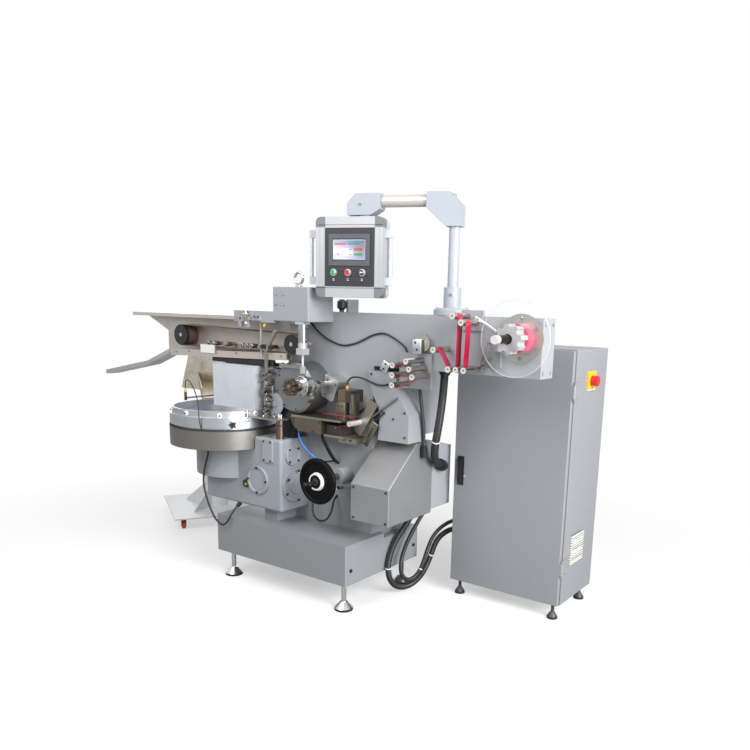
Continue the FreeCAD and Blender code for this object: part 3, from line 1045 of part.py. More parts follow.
panel_depth = v.panel_front - v.panel_back
housing = block(v.panel_left, -v.panel_front, v.panel_bottom, v.panel_right - v.panel_left,
                panel_depth, v.panel_top - v.panel_bottom)
housing = soften(housing, v.panel_corner, lambda reach: reach.YLength > panel_depth - 0.01)
neck = tube(v.arm_radius, v.drop_bottom - v.joint_gap - v.panel_top, (0, 0, v.panel_top))
panel_width = v.panel_right - v.panel_left
grooves = [block(v.panel_left, -v.panel_front, up, panel_width, v.panel_groove_depth,
                 v.panel_groove_depth) for up in (v.keypad_bottom - v.panel_groove,
                                                  v.keypad_top + v.panel_groove)]
shape_piece("panel_housing", on_panel(housing.fuse(neck).cut(grooves).removeSplitter()))
keypad_front = -v.panel_front - v.keypad_thickness
keypad = block(v.keypad_left, keypad_front, v.keypad_bottom, v.keypad_right - v.keypad_left,
               v.keypad_thickness, v.keypad_top - v.keypad_bottom)
bezel_left = v.keypad_left + v.bezel_inset
bezel_length = v.keypad_right - v.keypad_left - 2 * v.bezel_inset
bezel_bottom = v.keypad_top - v.bezel_top_inset - v.bezel_height
bezel = block(bezel_left, keypad_front - v.bezel_thickness, bezel_bottom, bezel_length,
              v.bezel_thickness, v.bezel_height)
bezel = bezel.cut(block(bezel_left + v.bezel_width, keypad_front - v.bezel_thickness,
                        bezel_bottom + v.bezel_width, bezel_length - 2 * v.bezel_width,
                        v.bezel_thickness, v.bezel_height - 2 * v.bezel_width))
shape_piece("panel_keypad", on_panel(keypad.fuse(bezel).removeSplitter()))
button_profile = [
    (0, 0), (v.button_radius, 0), (v.button_radius, v.button_collar), (v.button_cap_radius, v.button_collar),
    (v.button_cap_radius, v.button_length - 2), (v.button_cap_radius - 2, v.button_length),
    (0, v.button_length)]
buttons = [lid(button_profile, (v.keypad_left + v.button_inset + step * v.button_pitch, keypad_front,
                                v.keypad_bottom + v.button_up), (0, -1, 0)) for step in range(3)]
shape_piece("panel_buttons", on_panel(Part.makeCompound(buttons)))
handles = []
for edge, outward in ((v.panel_left, -1), (v.panel_right, 1)):
    grip_across = edge + outward * (v.handle_reach - v.handle_radius)
    grip_front = -(v.panel_front + v.panel_back) / 2
    grip = tube(v.handle_radius, v.handle_top - v.handle_bottom,
                (grip_across, grip_front, v.handle_bottom))
    for low in (v.handle_bottom, v.handle_top - v.handle_bracket):
        left = min(edge, grip_across)
        grip = grip.fuse(block(left, grip_front - v.handle_radius, low, abs(grip_across - edge),
                               2 * v.handle_radius, v.handle_bracket))
    handles.append(grip.removeSplitter())
shape_piece("panel_handles", on_panel(Part.makeCompound(handles)))

# Electric cabinet: a body on four feet, a door on two hinges, its handle, the switch and the vent.
cabinet_right = v.cabinet_left + v.cabinet_width
door_back = v.cabinet_front + v.door_thickness
body_front = door_back + v.door_gap
hinge_across = cabinet_right + v.hinge_offset
hinge_back = v.cabinet_front + v.hinge_barrel_radius
body = block(v.cabinet_left, body_front, v.cabinet_bottom, v.cabinet_width,
             v.cabinet_front + v.cabinet_depth - body_front, v.cabinet_height)
body = soften(body, v.cabinet_corner, lambda reach: reach.YMax > body_front + v.cabinet_corner
              and not (reach.XLength > 0.01 and reach.ZMax < v.cabinet_bottom + 1))
for low in (v.hinge_low, v.hinge_high):
    pin = tube(v.hinge_pin_radius, v.hinge_length + 2 * v.hinge_leaf,
               (hinge_across, hinge_back, low - v.hinge_leaf))
    body = body.fuse([pin] + [
        block(hinge_across - v.hinge_offset, hinge_back - v.hinge_pin_radius, up,
              v.hinge_offset + v.hinge_pin_radius, body_front - hinge_back + 3 * v.hinge_leaf,
              v.hinge_leaf - v.hinge_clearance)
        for up in (low - v.hinge_leaf, low + v.hinge_length + v.hinge_clearance)])
shape_piece("cabinet_body", body.removeSplitter())
door = block(v.cabinet_left + v.door_inset, v.cabinet_front, v.cabinet_bottom + v.door_inset,
             v.cabinet_width - 2 * v.door_inset, v.door_thickness,
             v.cabinet_height - 2 * v.door_inset)
door = soften(door, v.door_corner, lambda reach: reach.YMax < v.cabinet_front + 1)
for low in (v.hinge_low, v.hinge_high):
    knuckle = tube(v.hinge_barrel_radius, v.hinge_length, (hinge_across, hinge_back, low))
    leaf = block(cabinet_right - v.door_inset - 1, v.cabinet_front, low,
                 v.hinge_offset + v.door_inset, v.hinge_barrel_radius, v.hinge_length)
    door = door.fuse([knuckle, leaf])
    door = door.cut(tube(v.hinge_pin_radius + v.hinge_clearance, v.hinge_length,
                         (hinge_across, hinge_back, low)))
shape_piece("cabinet_door", door.removeSplitter())
handle_middle = v.cabinet_left + v.handle_across
handle_front = v.cabinet_front - v.handle_depth
lever_back = handle_front - v.hinge_clearance
lever_top = v.handle_up + v.handle_length / 2 - v.lever_drop
half_thick = v.lever_thickness / 2
pivot_back = lever_back - half_thick
handle = block(handle_middle - v.handle_width / 2, handle_front, v.handle_up - v.handle_length / 2,
               v.handle_width, v.handle_depth, v.handle_length)
half_lever = v.lever_width / 2
ears = []
for edge in (handle_middle - half_lever - v.hinge_clearance - v.lever_ear,
             handle_middle + half_lever + v.hinge_clearance):
    ears.append(block(edge, pivot_back - half_thick, lever_top - v.lever_thickness,
                      v.lever_ear, handle_front - pivot_back + half_thick, v.lever_thickness))
pin_length = v.lever_width + 2 * (v.hinge_clearance + v.lever_ear)
handle_pin = tube(v.lever_pin_radius, pin_length,
                  (handle_middle - pin_length / 2, pivot_back, lever_top - half_thick), (1, 0, 0))
shape_piece("door_handle", handle.fuse(ears + [handle_pin]).removeSplitter())
lever = block(handle_middle - half_lever, pivot_back - half_thick,
              lever_top - half_thick - v.lever_length, v.lever_width, v.lever_thickness,
              v.lever_length)
lever = lever.fuse(tube(half_thick, v.lever_width,
                        (handle_middle - half_lever, pivot_back, lever_top - half_thick), (1, 0, 0)))
lever = lever.cut(tube(v.lever_pin_radius + v.hinge_clearance, v.lever_width,
                       (handle_middle - half_lever, pivot_back, lever_top - half_thick), (1, 0, 0)))
shape_piece("handle_lever", lever.removeSplitter())
switch_middle = v.cabinet_front + v.switch_back
switch_plate = block(cabinet_right, switch_middle - v.switch_plate / 2,
                     v.switch_up - v.switch_plate / 2, v.switch_plate_thickness, v.switch_plate,
                     v.switch_plate)
knob = tube(v.switch_knob_radius, v.switch_knob_length,
            (cabinet_right + v.switch_plate_thickness + v.switch_gap, switch_middle, v.switch_up), (1, 0, 0))
shape_piece("switch_knob", knob)
vent_middle = v.cabinet_front + v.vent_back
vent_low = v.vent_up - v.vent_side / 2
vent = block(cabinet_right, vent_middle - v.vent_side / 2, vent_low, v.vent_thickness, v.vent_side,
             v.vent_side)
vent = soften(vent, v.vent_thickness / 3, lambda reach: reach.XMin > cabinet_right + 1)
slat_pitch = (v.vent_side - 2 * v.vent_rim) / v.vent_slats
vent_front = cabinet_right + v.vent_thickness
for number in range(int(v.vent_slats)):
    slat_low = vent_low + v.vent_rim + number * slat_pitch
    corners = [vec(vent_front, vent_middle - v.vent_side / 2 + v.vent_rim, slat_low),
               vec(vent_front, vent_middle - v.vent_side / 2 + v.vent_rim, slat_low + v.vent_slat_gap),
               vec(vent_front - v.vent_slat_depth, vent_middle - v.vent_side / 2 + v.vent_rim,
                   slat_low + v.vent_slat_gap)]
    slot = Part.Face(Part.makePolygon(corners + corners[:1]))
    vent = vent.cut(slot.extrude(vec(0, v.vent_side - 2 * v.vent_rim, 0)))
shape_piece("cabinet_fittings", Part.makeCompound([switch_plate, vent]))
cabinet_feet = []
for across in (v.cabinet_left + v.cabinet_foot_inset, cabinet_right - v.cabinet_foot_inset):
    for back in (v.cabinet_front + v.cabinet_foot_inset,
                 v.cabinet_front + v.cabinet_depth - v.cabinet_foot_inset):
        cabinet_feet.append(turning([
            (0, 0), (v.cabinet_foot_radius, 0), (v.cabinet_foot_radius, v.cabinet_pad_height),
            (v.cabinet_stem_radius + 2, v.cabinet_pad_height + v.cabinet_cone_height),
            (v.cabinet_stem_radius, v.cabinet_pad_height + v.cabinet_cone_height),
            (v.cabinet_stem_radius, v.cabinet_bottom), (0, v.cabinet_bottom)], across, back))
shape_piece("cabinet_feet", Part.makeCompound(cabinet_feet))

# Cables that the machine holds along their way, from the housing, the sensors and the drum.
cable = [
    cord("upper cable", [(455, 234, 1360), (500, 234, 1318), (568, 234, 1277), (666, 234, 1248),
                         (761, 234, 1268), (852, 234, 1311), (919, 234, 1323), (986, 234, 1296),
                         (1038, 234, 1264), (1052, 234, 1236)], 4),
    cord("sensor cable", [(727, 200, 1048), (724, 200, 1080), (745, 204, 1106), (790, 206, 1112),
                          (840, 206, 1101), (900, 206, 1083), (940, 206, 1083), (968, 206, 1090)], 4),
    cord("wheel loop", [(505, 240, 500), (505, 215, 480), (510, 190, 440), (530, 170, 395),
                        (580, 160, 372), (630, 165, 385), (640, 190, 430), (632, 215, 480),
                        (632, 240, 500)], 5),
    cord("drum cable", [(0, -46, 718), (0, -46, 670), (-25, -46, 610), (-43, -45, 555), (-48, -43, 495),
                        (-20, -40, 400), (25, -32, 320), (72, -27, 294), (106, -22, 316),
                        (120, -10, 356), (124, 18, 388), (124, 56, 415)], 5),
    cord("air hose", [(478, 130, 832), (490, 112, 805), (532, 95, 768), (580, 90, 735),
                      (600, 106, 712), (608, 140, 690), (610, 185, 678), (610, 240, 676)], 4)]
for apart in (0, 13):
    cable.append(cord("twin cable", [(608 + apart, 150, 832), (608 + apart, 150, 804),
                                     (618 + apart, 164, 768), (626 + apart, 186, 724),
                                     (630 + apart, 210, 690), (630 + apart, 240, 668)], 5))
column_part = block(v.column_left, v.face_plane, v.base_bottom, v.column_right - v.column_left,
                    v.column_depth, v.beam_bottom)
casting_part = block(v.casting_left, v.casting_front, v.casting_bottom,
                     v.casting_right - v.casting_left, v.face_plane - v.casting_front,
                     v.casting_top - v.casting_bottom)
housing_part = block(v.housing_left, v.housing_front, v.housing_bottom,
                     v.housing_right - v.housing_left, v.face_plane - v.housing_front,
                     v.housing_top - v.housing_bottom)
carriers = [column_part, casting_part, housing_part, low_plate, sensor]
shape_piece("sensor_cables", Part.makeCompound([each.cut(carriers) for each in cable]))

# Loose corrugated conduits, each on a route of its own, with a gland at both ends.
beam_part = block(v.column_left, v.face_plane, v.beam_bottom, v.beam_right - v.column_left,
                  v.beam_depth, v.beam_top - v.beam_bottom)
hood_part = block(v.hood_left, v.hood_front, v.hood_bottom, v.hood_right - v.hood_left,
                  v.hood_back - v.hood_front, v.hood_top - v.hood_bottom)
cabinet_part = block(v.cabinet_left, body_front, v.cabinet_bottom, v.cabinet_width, v.cabinet_depth,
                     v.cabinet_height)
conduits = [
    ("hanging_conduit", 19, beam_part, low_rear,
     [(1200, 322, 1144), (1197, 322, 1085), (1190, 323, 1010), (1178, 327, 935), (1163, 333, 868),
      (1146, 345, 812), (1131, 364, 766), (1117, 391, 730), (1107, 424, 706), (1098, 460, 694)]),
    ("side_conduit", 9, beam_part, hood_part,
     [(1100, 268, 1144), (1100, 270, 1100), (1100, 279, 1045), (1099, 292, 990), (1097, 306, 938),
      (1095, 318, 890), (1093, 326, 845), (1092, 330, 801)]),
    ("floor_conduit_a", 15, low_rear, cabinet_part,
     [(950, 480, 446), (945, 462, 408), (932, 410, 350), (920, 358, 292), (915, 322, 230),
      (914, 304, 168), (914, 312, 111), (917, 344, 62), (923, 393, 32), (932, 450, 22), (942, 507, 32),
      (954, 555, 65), (967, 580, 115), (982, 592, 171), (996, 602, 228), (1016, 614, 270),
      (1044, 630, 298), (1070, 648, 313), (1096, 666, 321)]),
    ("floor_conduit_b", 11, low_rear, cabinet_part,
     [(998, 508, 446), (984, 490, 408), (962, 456, 340), (952, 410, 275), (948, 378, 215),
      (947, 366, 165), (948, 370, 125), (949, 390, 90), (952, 423, 69), (956, 463, 65), (960, 500, 80),
      (964, 527, 109), (969, 547, 151), (976, 564, 205), (988, 582, 260), (1010, 604, 306),
      (1038, 632, 338), (1066, 660, 356), (1094, 690, 368)])]
glands = []
for name, radius, upper_part, lower_part, route in conduits:
    shape_piece(name, cord(name, route, radius))
    glands.append(gland(route[0], route[1], radius, upper_part))
    glands.append(gland(route[-1], route[-2], radius, lower_part))
shape_piece("cable_glands", Part.makeCompound(glands))

# Every object is checked before any file is written.
doc.recompute()
faults = [item.Name for item in doc.Objects if {"Invalid", "Error"} & set(item.State)]
for item in pieces:
    if item.Shape.isNull() or not item.Shape.isValid() or not item.Shape.Solids:
        faults.append(item.Label)
if faults:
    raise RuntimeError("faulty: " + ", ".join(faults))
for item in pieces:
    item.Shape.exportStep(f"parts/{item.Label}.step")
print(len(pieces), "pieces written")
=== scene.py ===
# Looks of the candy twist-wrapping machine and its electric cabinet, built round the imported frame.
import math

import bpy
from mathutils import Matrix, Vector


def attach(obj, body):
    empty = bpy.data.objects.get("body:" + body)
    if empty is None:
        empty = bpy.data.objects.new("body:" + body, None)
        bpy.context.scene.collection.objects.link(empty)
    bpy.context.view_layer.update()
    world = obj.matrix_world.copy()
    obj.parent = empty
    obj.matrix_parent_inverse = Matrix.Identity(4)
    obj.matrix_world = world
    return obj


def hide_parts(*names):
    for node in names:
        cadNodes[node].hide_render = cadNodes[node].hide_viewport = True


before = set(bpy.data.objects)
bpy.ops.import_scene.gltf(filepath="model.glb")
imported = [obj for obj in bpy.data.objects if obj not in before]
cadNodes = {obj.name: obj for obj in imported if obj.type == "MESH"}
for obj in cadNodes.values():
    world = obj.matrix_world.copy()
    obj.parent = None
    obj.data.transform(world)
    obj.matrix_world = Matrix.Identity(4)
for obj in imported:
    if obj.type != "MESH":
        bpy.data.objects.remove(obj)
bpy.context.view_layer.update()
footInset = 58                      # the machine's own corner lies this far outside the frame's origin


def at(x, y, z):
    return Vector((x - footInset, y - footInset, z)) / 1000


# Camera at the photograph's angle
view = {"azimuth": 34.773, "pitch": 11.975, "roll": 1.54, "eye": (3015.56, -2525.45, 1437.53),
        "lens": 35.51, "shiftX": -0.0508, "shiftY": 0.12}


def setCamera():
    azimuth, pitch, roll = (math.radians(view[key]) for key in ("azimuth", "pitch", "roll"))
    forward = Vector((-math.sin(azimuth) * math.cos(pitch), math.cos(azimuth) * math.cos(pitch),
                      -math.sin(pitch)))
    level = Vector((math.cos(azimuth), math.sin(azimuth), 0))
    upright = level.cross(forward)
    right = level * math.cos(roll) + upright * math.sin(roll)
    up = upright * math.cos(roll) - level * math.sin(roll)
    data = bpy.data.cameras.new("photoView")
    data.lens = view["lens"]
    data.shift_x = view["shiftX"]
    data.shift_y = view["shiftY"]
    data.clip_end = 200
    eye = bpy.data.objects.new("photoView", data)
    bpy.context.scene.collection.objects.link(eye)
    facing = Matrix((right, up, -forward)).transposed().to_4x4()
    eye.matrix_world = Matrix.Translation(at(*view["eye"])) @ facing
    bpy.context.scene.camera = eye


setCamera()
print("camera set")


# Shader maths: a socket that adds, takes away and multiplies, and a bench that wires one material
def srgb(red, green, blue):
    def linear(level):
        level = level / 255
        return level / 12.92 if level <= 0.04045 else ((level + 0.055) / 1.055) ** 2.4
    return (linear(red), linear(green), linear(blue), 1)


def toned(colour, factor):
    return tuple(min(part * factor, 1) for part in colour[:3]) + (1,)


class Socket:
    def __init__(self, bench, link):
        self.bench = bench
        self.link = link

    def maths(self, operation, first, second=None):
        return self.bench.add("ShaderNodeMath", {"operation": operation}, {0: first, 1: second})

    def __add__(self, other):
        return self.maths("ADD", self, other)

    def __sub__(self, other):
        return self.maths("SUBTRACT", self, other)

    def __rsub__(self, other):
        return self.maths("SUBTRACT", other, self)

    def __mul__(self, other):
        return self.maths("MULTIPLY", self, other)

    __radd__ = __add__
    __rmul__ = __mul__

    def above(self, limit):
        return self.maths("GREATER_THAN", self, limit)

    def below(self, limit):
        return self.maths("LESS_THAN", self, limit)

    def between(self, low, high):
        return self.above(low) * self.below(high)

    def wave(self, pitch):
        return self.maths("SINE", self * (2 * math.pi / pitch)) * 0.5 + 0.5

    def either(self, other):
        return self.maths("MAXIMUM", self, other)


class Bench:
    def __init__(self, name):
        self.material = bpy.data.materials.new(name)
        self.material.use_nodes = True
        self.tree = self.material.node_tree
        self.shader = self.tree.nodes["Principled BSDF"]

    def plug(self, socket, value):
        if isinstance(value, Socket):
            self.tree.links.new(value.link, socket)
        elif value is not None:
            socket.default_value = value

    def add(self, kind, settings=None, values=None, output=0):
        node = self.tree.nodes.new(kind)
        for key, value in (settings or {}).items():
            setattr(node, key, value)
        for key, value in (values or {}).items():
            self.plug(node.inputs[key], value)
        return Socket(self, node.outputs[output])

    def place(self):
        return self.add("ShaderNodeTexCoord", output="Object")

    def mapped(self, stretch=(1, 1, 1), turn=0):
        return self.add("ShaderNodeMapping", None, {"Vector": self.place(), "Scale": stretch,
                                                    "Rotation": (0, 0, math.radians(turn))})

    def noise(self, scale, detail=2, stretch=(1, 1, 1), turn=0, roughness=0.5):
        return self.add("ShaderNodeTexNoise", None, {"Vector": self.mapped(stretch, turn), "Scale": scale,
                                                     "Detail": detail, "Roughness": roughness})

    def mix(self, share, first, second):
        return self.add("ShaderNodeMix", {"data_type": "RGBA"}, {0: share, 6: first, 7: second}, 2)

    def spread(self, value, low, high):
        return self.add("ShaderNodeMapRange", None, {0: value, 1: low, 2: high, 3: 0.0, 4: 1.0})

    # The machine's own x, y and z in millimetres
    def axes(self):
        parts = [self.add("ShaderNodeSeparateXYZ", None, {0: self.place()}, axis) for axis in range(3)]
        return parts[0] * 1000 + footInset, parts[1] * 1000 + footInset, parts[2] * 1000

    def within(self, across, up, middle, radius):
        offAcross = across - middle[0]
        offUp = up - middle[1]
        return (offAcross * offAcross + offUp * offUp).below(radius * radius)


# A finish: broad shading, fine grain, bump, and zones of another colour where the real piece has them
def makeFinish(name, colour, spread=0.06, broad=3, fine=400, grain=(1, 1, 1), turn=0, rough=0.45,
               roughSpread=0.12, metal=0, height=0.00006, coat=0, alpha=1, smudge=None, zones=None,
               specular=0.5):
    bench = Bench(name)
    cloud = bench.noise(broad, 4, (1, 1, 1), 0, 0.6)
    texture = bench.noise(fine, 2, grain, turn)
    paint = bench.mix(bench.spread(cloud, 0.3, 0.7), toned(colour, 1 - spread), toned(colour, 1 + spread))
    paint = bench.mix(bench.spread(texture, 0.2, 0.8) * 0.35, paint, toned(colour, 1 - 2.2 * spread))
    roughness = texture * roughSpread + (rough - roughSpread / 2)
    metallic = metal
    if smudge:
        patch = bench.spread(bench.noise(smudge["scale"], 5, (1, 1, 1), 0, 0.7), 0.48, 0.72)
        paint = bench.mix(patch * smudge["share"], paint, smudge["colour"])
        roughness = roughness + patch * smudge["rough"]
    for zone in (zones(bench) if zones else ()):
        mask = zone["mask"]
        shadeNow = bench.mix(texture, toned(zone["colour"], 0.93), toned(zone["colour"], 1.05))
        paint = bench.mix(mask, paint, shadeNow)
        roughness = roughness * (1 - mask) + mask * zone.get("rough", 0.4)
        metallic = mask * zone.get("metal", 0) + (1 - mask) * metallic
    bench.plug(bench.shader.inputs["Base Color"], paint)
    bench.plug(bench.shader.inputs["Roughness"], roughness)
    bench.plug(bench.shader.inputs["Metallic"], metallic)
    bench.plug(bench.shader.inputs["Coat Weight"], coat)
    bench.plug(bench.shader.inputs["Coat Roughness"], 0.12)
    bench.plug(bench.shader.inputs["Specular IOR Level"], specular)
    if alpha == "rim":
        x, y, z = bench.axes()
        alpha = (1 - bench.within(x, z, (1626, 1327), 153)) * 0.5 + 0.10
    bench.plug(bench.shader.inputs["Alpha"], alpha)
    bump = bench.add("ShaderNodeBump", None, {"Height": texture, "Distance": height, "Strength": 0.6})
    bench.plug(bench.shader.inputs["Normal"], bump)
    return bench.material


def dress(material, *names):
    for name in names:
        piece = cadNodes[name]
        if not piece.material_slots:
            piece.data.materials.append(material)
        for holder in piece.material_slots:
            holder.material = material


# Colours read off, then the finishes that most pieces share
tones = {"paint": srgb(148, 150, 155), "cast": srgb(146, 150, 157), "light": srgb(154, 160, 168),
         "white": srgb(222, 223, 224), "steel": srgb(140, 137, 133), "bright": srgb(212, 216, 223),
         "chrome": srgb(214, 214, 212), "aluminium": srgb(166, 168, 171), "tan": srgb(128, 118, 106),
         "black": srgb(20, 21, 23), "rubber": srgb(22, 23, 26), "brownRubber": srgb(92, 62, 48),
         "belt": srgb(104, 92, 82), "pink": srgb(174, 26, 66), "red": srgb(196, 28, 26),
         "brass": srgb(150, 120, 72), "orange": srgb(214, 98, 34), "yellow": srgb(226, 172, 28),
         "blue": srgb(42, 118, 196), "green": srgb(30, 158, 88), "brown": srgb(96, 56, 44)}
handMarks = {"scale": 7, "share": 0.22, "colour": srgb(142, 136, 128), "rough": 0.08}
steelClouds = {"scale": 9, "share": 0.55, "colour": srgb(116, 110, 102), "rough": 0.12}

finishes = {
    "paint": makeFinish("greyMachinePaint", tones["paint"], 0.035, 1.6, 900, rough=0.42, height=0.00004,
                        smudge={"scale": 3, "share": 0.10, "colour": srgb(136, 134, 132), "rough": 0.05}),
    "cast": makeFinish("greyCastingPaint", tones["cast"], 0.05, 4, 260, rough=0.4, height=0.0003, coat=0.15,
                       smudge={"scale": 5, "share": 0.14, "colour": srgb(128, 128, 130), "rough": 0.06}),
    "light": makeFinish("paleBluePowderCoat", tones["light"], 0.03, 3, 700, rough=0.4, height=0.00008),
    "white": makeFinish("whitePaint", tones["white"], 0.03, 4, 600, rough=0.38, height=0.00005,
                        smudge={"scale": 6, "share": 0.12, "colour": srgb(190, 184, 176), "rough": 0.1}),
    "steelLong": makeFinish("brushedSteelAlong", tones["steel"], 0.06, 5, 260, (0.02, 1, 1), rough=0.36,
                            roughSpread=0.2, metal=1, height=0.00003, smudge=steelClouds),
    "steelUp": makeFinish("brushedSteelUpright", tones["steel"], 0.06, 5, 260, (1, 1, 0.02), rough=0.34,
                          roughSpread=0.2, metal=1, height=0.00003, smudge=steelClouds),
    "bright": makeFinish("brightSteelSheet", tones["bright"], 0.04, 5, 300, (0.02, 1, 1), rough=0.3,
                         roughSpread=0.16, metal=1, height=0.00002, smudge=handMarks),
    "chrome": makeFinish("chromedSteel", tones["chrome"], 0.03, 8, 500, rough=0.14, roughSpread=0.08,
                         metal=1, height=0.00001),
    "aluminium": makeFinish("satinAluminium", tones["aluminium"], 0.03, 6, 420, (1, 1, 0.03), rough=0.36,
                            metal=0.85, height=0.00002),
    "ground": makeFinish("tanGroundSteel", tones["tan"], 0.09, 7, 320, (0.03, 1, 1), rough=0.36,
                         roughSpread=0.2, metal=1, height=0.00003,
                         smudge={"scale": 12, "share": 0.45, "colour": srgb(112, 98, 82), "rough": 0.1}),
    "whitePlastic": makeFinish("whiteEngineeringPlastic", srgb(224, 224, 220), 0.03, 6, 500, rough=0.45,
                               height=0.00004),
    "blackPlastic": makeFinish("blackMouldedPlastic", tones["black"], 0.18, 12, 800, rough=0.5,
                               height=0.00008),
    "rubber": makeFinish("blackCableSheath", tones["rubber"], 0.2, 20, 900, rough=0.55, height=0.00006),
    "belt": makeFinish("wornFeedBelt", tones["belt"], 0.10, 16, 500, (0.1, 1, 1), rough=0.62,
                       height=0.00015, smudge={"scale": 30, "share": 0.3, "colour": srgb(74, 62, 54),
                                               "rough": 0.05}),
    "warm": makeFinish("warmBrushedSheet", srgb(196, 188, 181), 0.08, 3, 300, (0.02, 1, 1), rough=0.36,
                       roughSpread=0.14, metal=0.55, height=0.00002,
                       smudge={"scale": 7, "share": 0.3, "colour": srgb(150, 132, 118), "rough": 0.08}),
    # The grey machine paint darkened to 0.80, with darker smudges to match: painted shade for the base frame and the
    # cabinet
    "shadedPaint": makeFinish("shadedPlinthPaint", toned(tones["paint"], 0.80), 0.035, 1.6, 900, rough=0.42,
                         height=0.00004, smudge={"scale": 3, "share": 0.10, "colour": srgb(124, 122, 120),
                                                 "rough": 0.05}),
    "guard": makeFinish("guardSheet", srgb(206, 210, 217), 0.04, 5, 420, (1, 1, 0.02), rough=0.4,
                        roughSpread=0.12, metal=0.3, height=0.00002, smudge=handMarks),
    "screw": makeFinish("blackenedScrew", srgb(62, 62, 64), 0.12, 30, 900, rough=0.35, metal=0.8,
                        height=0.00002),
    "silver": makeFinish("silveredSheet", srgb(188, 191, 194), 0.05, 6, 300, (1, 1, 0.02), rough=0.34,
                         roughSpread=0.16, metal=0.75, height=0.00002, smudge=handMarks),
    "sheet": makeFinish("satinHoodSheet", srgb(150, 151, 153), 0.05, 2.5, 380, (1, 1, 0.02), rough=0.36,
                        roughSpread=0.18, metal=0.55, height=0.00002,
                        smudge={"scale": 4, "share": 0.2, "colour": srgb(176, 174, 170), "rough": 0.04}),
    "film": makeFinish("filmOnRollers", srgb(150, 26, 52), 0.12, 12, 160, (1, 14, 1), rough=0.22, coat=0.5,
                       height=0.0001),
    "brass": makeFinish("brassFitting", tones["brass"], 0.08, 14, 600, rough=0.28, metal=1,
                        height=0.00002),
    "yellow": makeFinish("yellowConnector", tones["yellow"], 0.06, 14, 600, rough=0.4, height=0.00003),
    "red": makeFinish("redMouldedPlastic", tones["red"], 0.08, 12, 700, rough=0.34, height=0.00004,
                      coat=0.3),
}
dress(finishes["sheet"], "outlet_hood")
dress(finishes["silver"], "discharge_slide", "feed_ring")
# The base frame and the cabinet take the darker copy of the grey paint: painted shade
dress(finishes["shadedPaint"], "base_frame", "cabinet_body", "cabinet_door")
dress(finishes["guard"], "guard_cover")
dress(finishes["paint"], "main_column", "top_beam", "upper_housing", "pusher_arm",
      "outlet_cover", "rear_covers")
dress(finishes["cast"], "gearbox_casting", "casting_covers")
dress(finishes["white"], "feeder_stand")
dress(finishes["warm"], "conveyor_plate", "feed_tray", "conveyor_bar")
dress(finishes["bright"], "feed_bowl")
dress(finishes["chrome"], "eye_bolt")
dress(finishes["ground"], "knife_housing")
dress(finishes["blackPlastic"], "cable_glands", "door_handle", "handle_lever")
dress(finishes["belt"], "conveyor_belt")
dress(finishes["red"], "switch_knob")
print("shared finishes made")


# Finishes with zones of their own
def wheelZones(bench):
    x, y, z = bench.axes()
    hub = (700, 622)
    ring = bench.within(x, z, hub, 44) * (1 - bench.within(x, z, hub, 33)) * y.below(20)
    slit = (x + z * -1 + (622 - 700)).between(-9, 9) * x.below(692)
    boss = bench.within(x, z, hub, 20) * y.below(16)
    shaft = bench.within(x, z, hub, 60) * y.above(62)
    return [{"mask": ring * (1 - slit), "colour": srgb(226, 226, 224), "rough": 0.5},
            {"mask": boss, "colour": srgb(52, 52, 54), "rough": 0.3},
            {"mask": shaft, "colour": tones["steel"], "rough": 0.3, "metal": 1}]


def drumZones(bench):
    x, y, z = bench.axes()
    return [{"mask": z.above(812), "colour": srgb(40, 40, 42), "rough": 0.6}]


def footZones(bench):
    x, y, z = bench.axes()
    return [{"mask": z.below(12), "colour": tones["black"], "rough": 0.6}]


def casterZones(bench):
    x, y, z = bench.axes()
    wheel = z.below(50)
    return [{"mask": wheel, "colour": tones["orange"], "rough": 0.5},
            {"mask": z.between(50, 66), "colour": tones["black"], "rough": 0.5}]


def conveyorZones(bench):
    x, y, z = bench.axes()
    mark = x.between(-195, -80) * y.below(88)
    probe = x.between(258, 330) * z.between(1222, 1320) * y.below(176)
    return [{"mask": mark, "colour": srgb(222, 220, 214), "rough": 0.4},
            {"mask": probe, "colour": tones["black"], "rough": 0.35}]


panelAxis = {"across": 832.7, "back": 194.9, "turn": math.radians(17.3)}


def panelAxes(bench):
    x, y, z = bench.axes()
    cosine = math.cos(panelAxis["turn"])
    sine = math.sin(panelAxis["turn"])
    offX = x - panelAxis["across"]
    offY = y - panelAxis["back"]
    return offX * cosine + offY * sine, offY * cosine - offX * sine, z


def panelZones(bench):
    across, back, z = panelAxes(bench)
    corner = across.below(-172).either(across.above(66)) * z.above(1782).either(z.below(1524))
    groove = across.between(-200, -197).either(across.between(88, 91)) * back.below(-59)
    rear = back.above(-8)
    return [{"mask": groove, "colour": srgb(150, 152, 156), "rough": 0.5, "metal": 0.5},
            {"mask": corner, "colour": srgb(106, 108, 114), "rough": 0.5},
            {"mask": rear, "colour": srgb(176, 180, 186), "rough": 0.5}]


def keypadZones(bench):
    across, back, z = panelAxes(bench)
    bezel = across.between(-152.5, 46.5) * z.between(1615.5, 1753.5)
    return [{"mask": bezel, "colour": srgb(78, 80, 84), "rough": 0.22}]


def buttonZones(bench):
    across, back, z = panelAxes(bench)
    zones = []
    for middle, colour in ((-129, tones["green"]), (-59, tones["red"]), (11, srgb(20, 20, 22))):
        zones.append({"mask": bench.within(across, z, (middle, 1586), 11.5), "colour": colour, "rough": 0.25})
    return zones


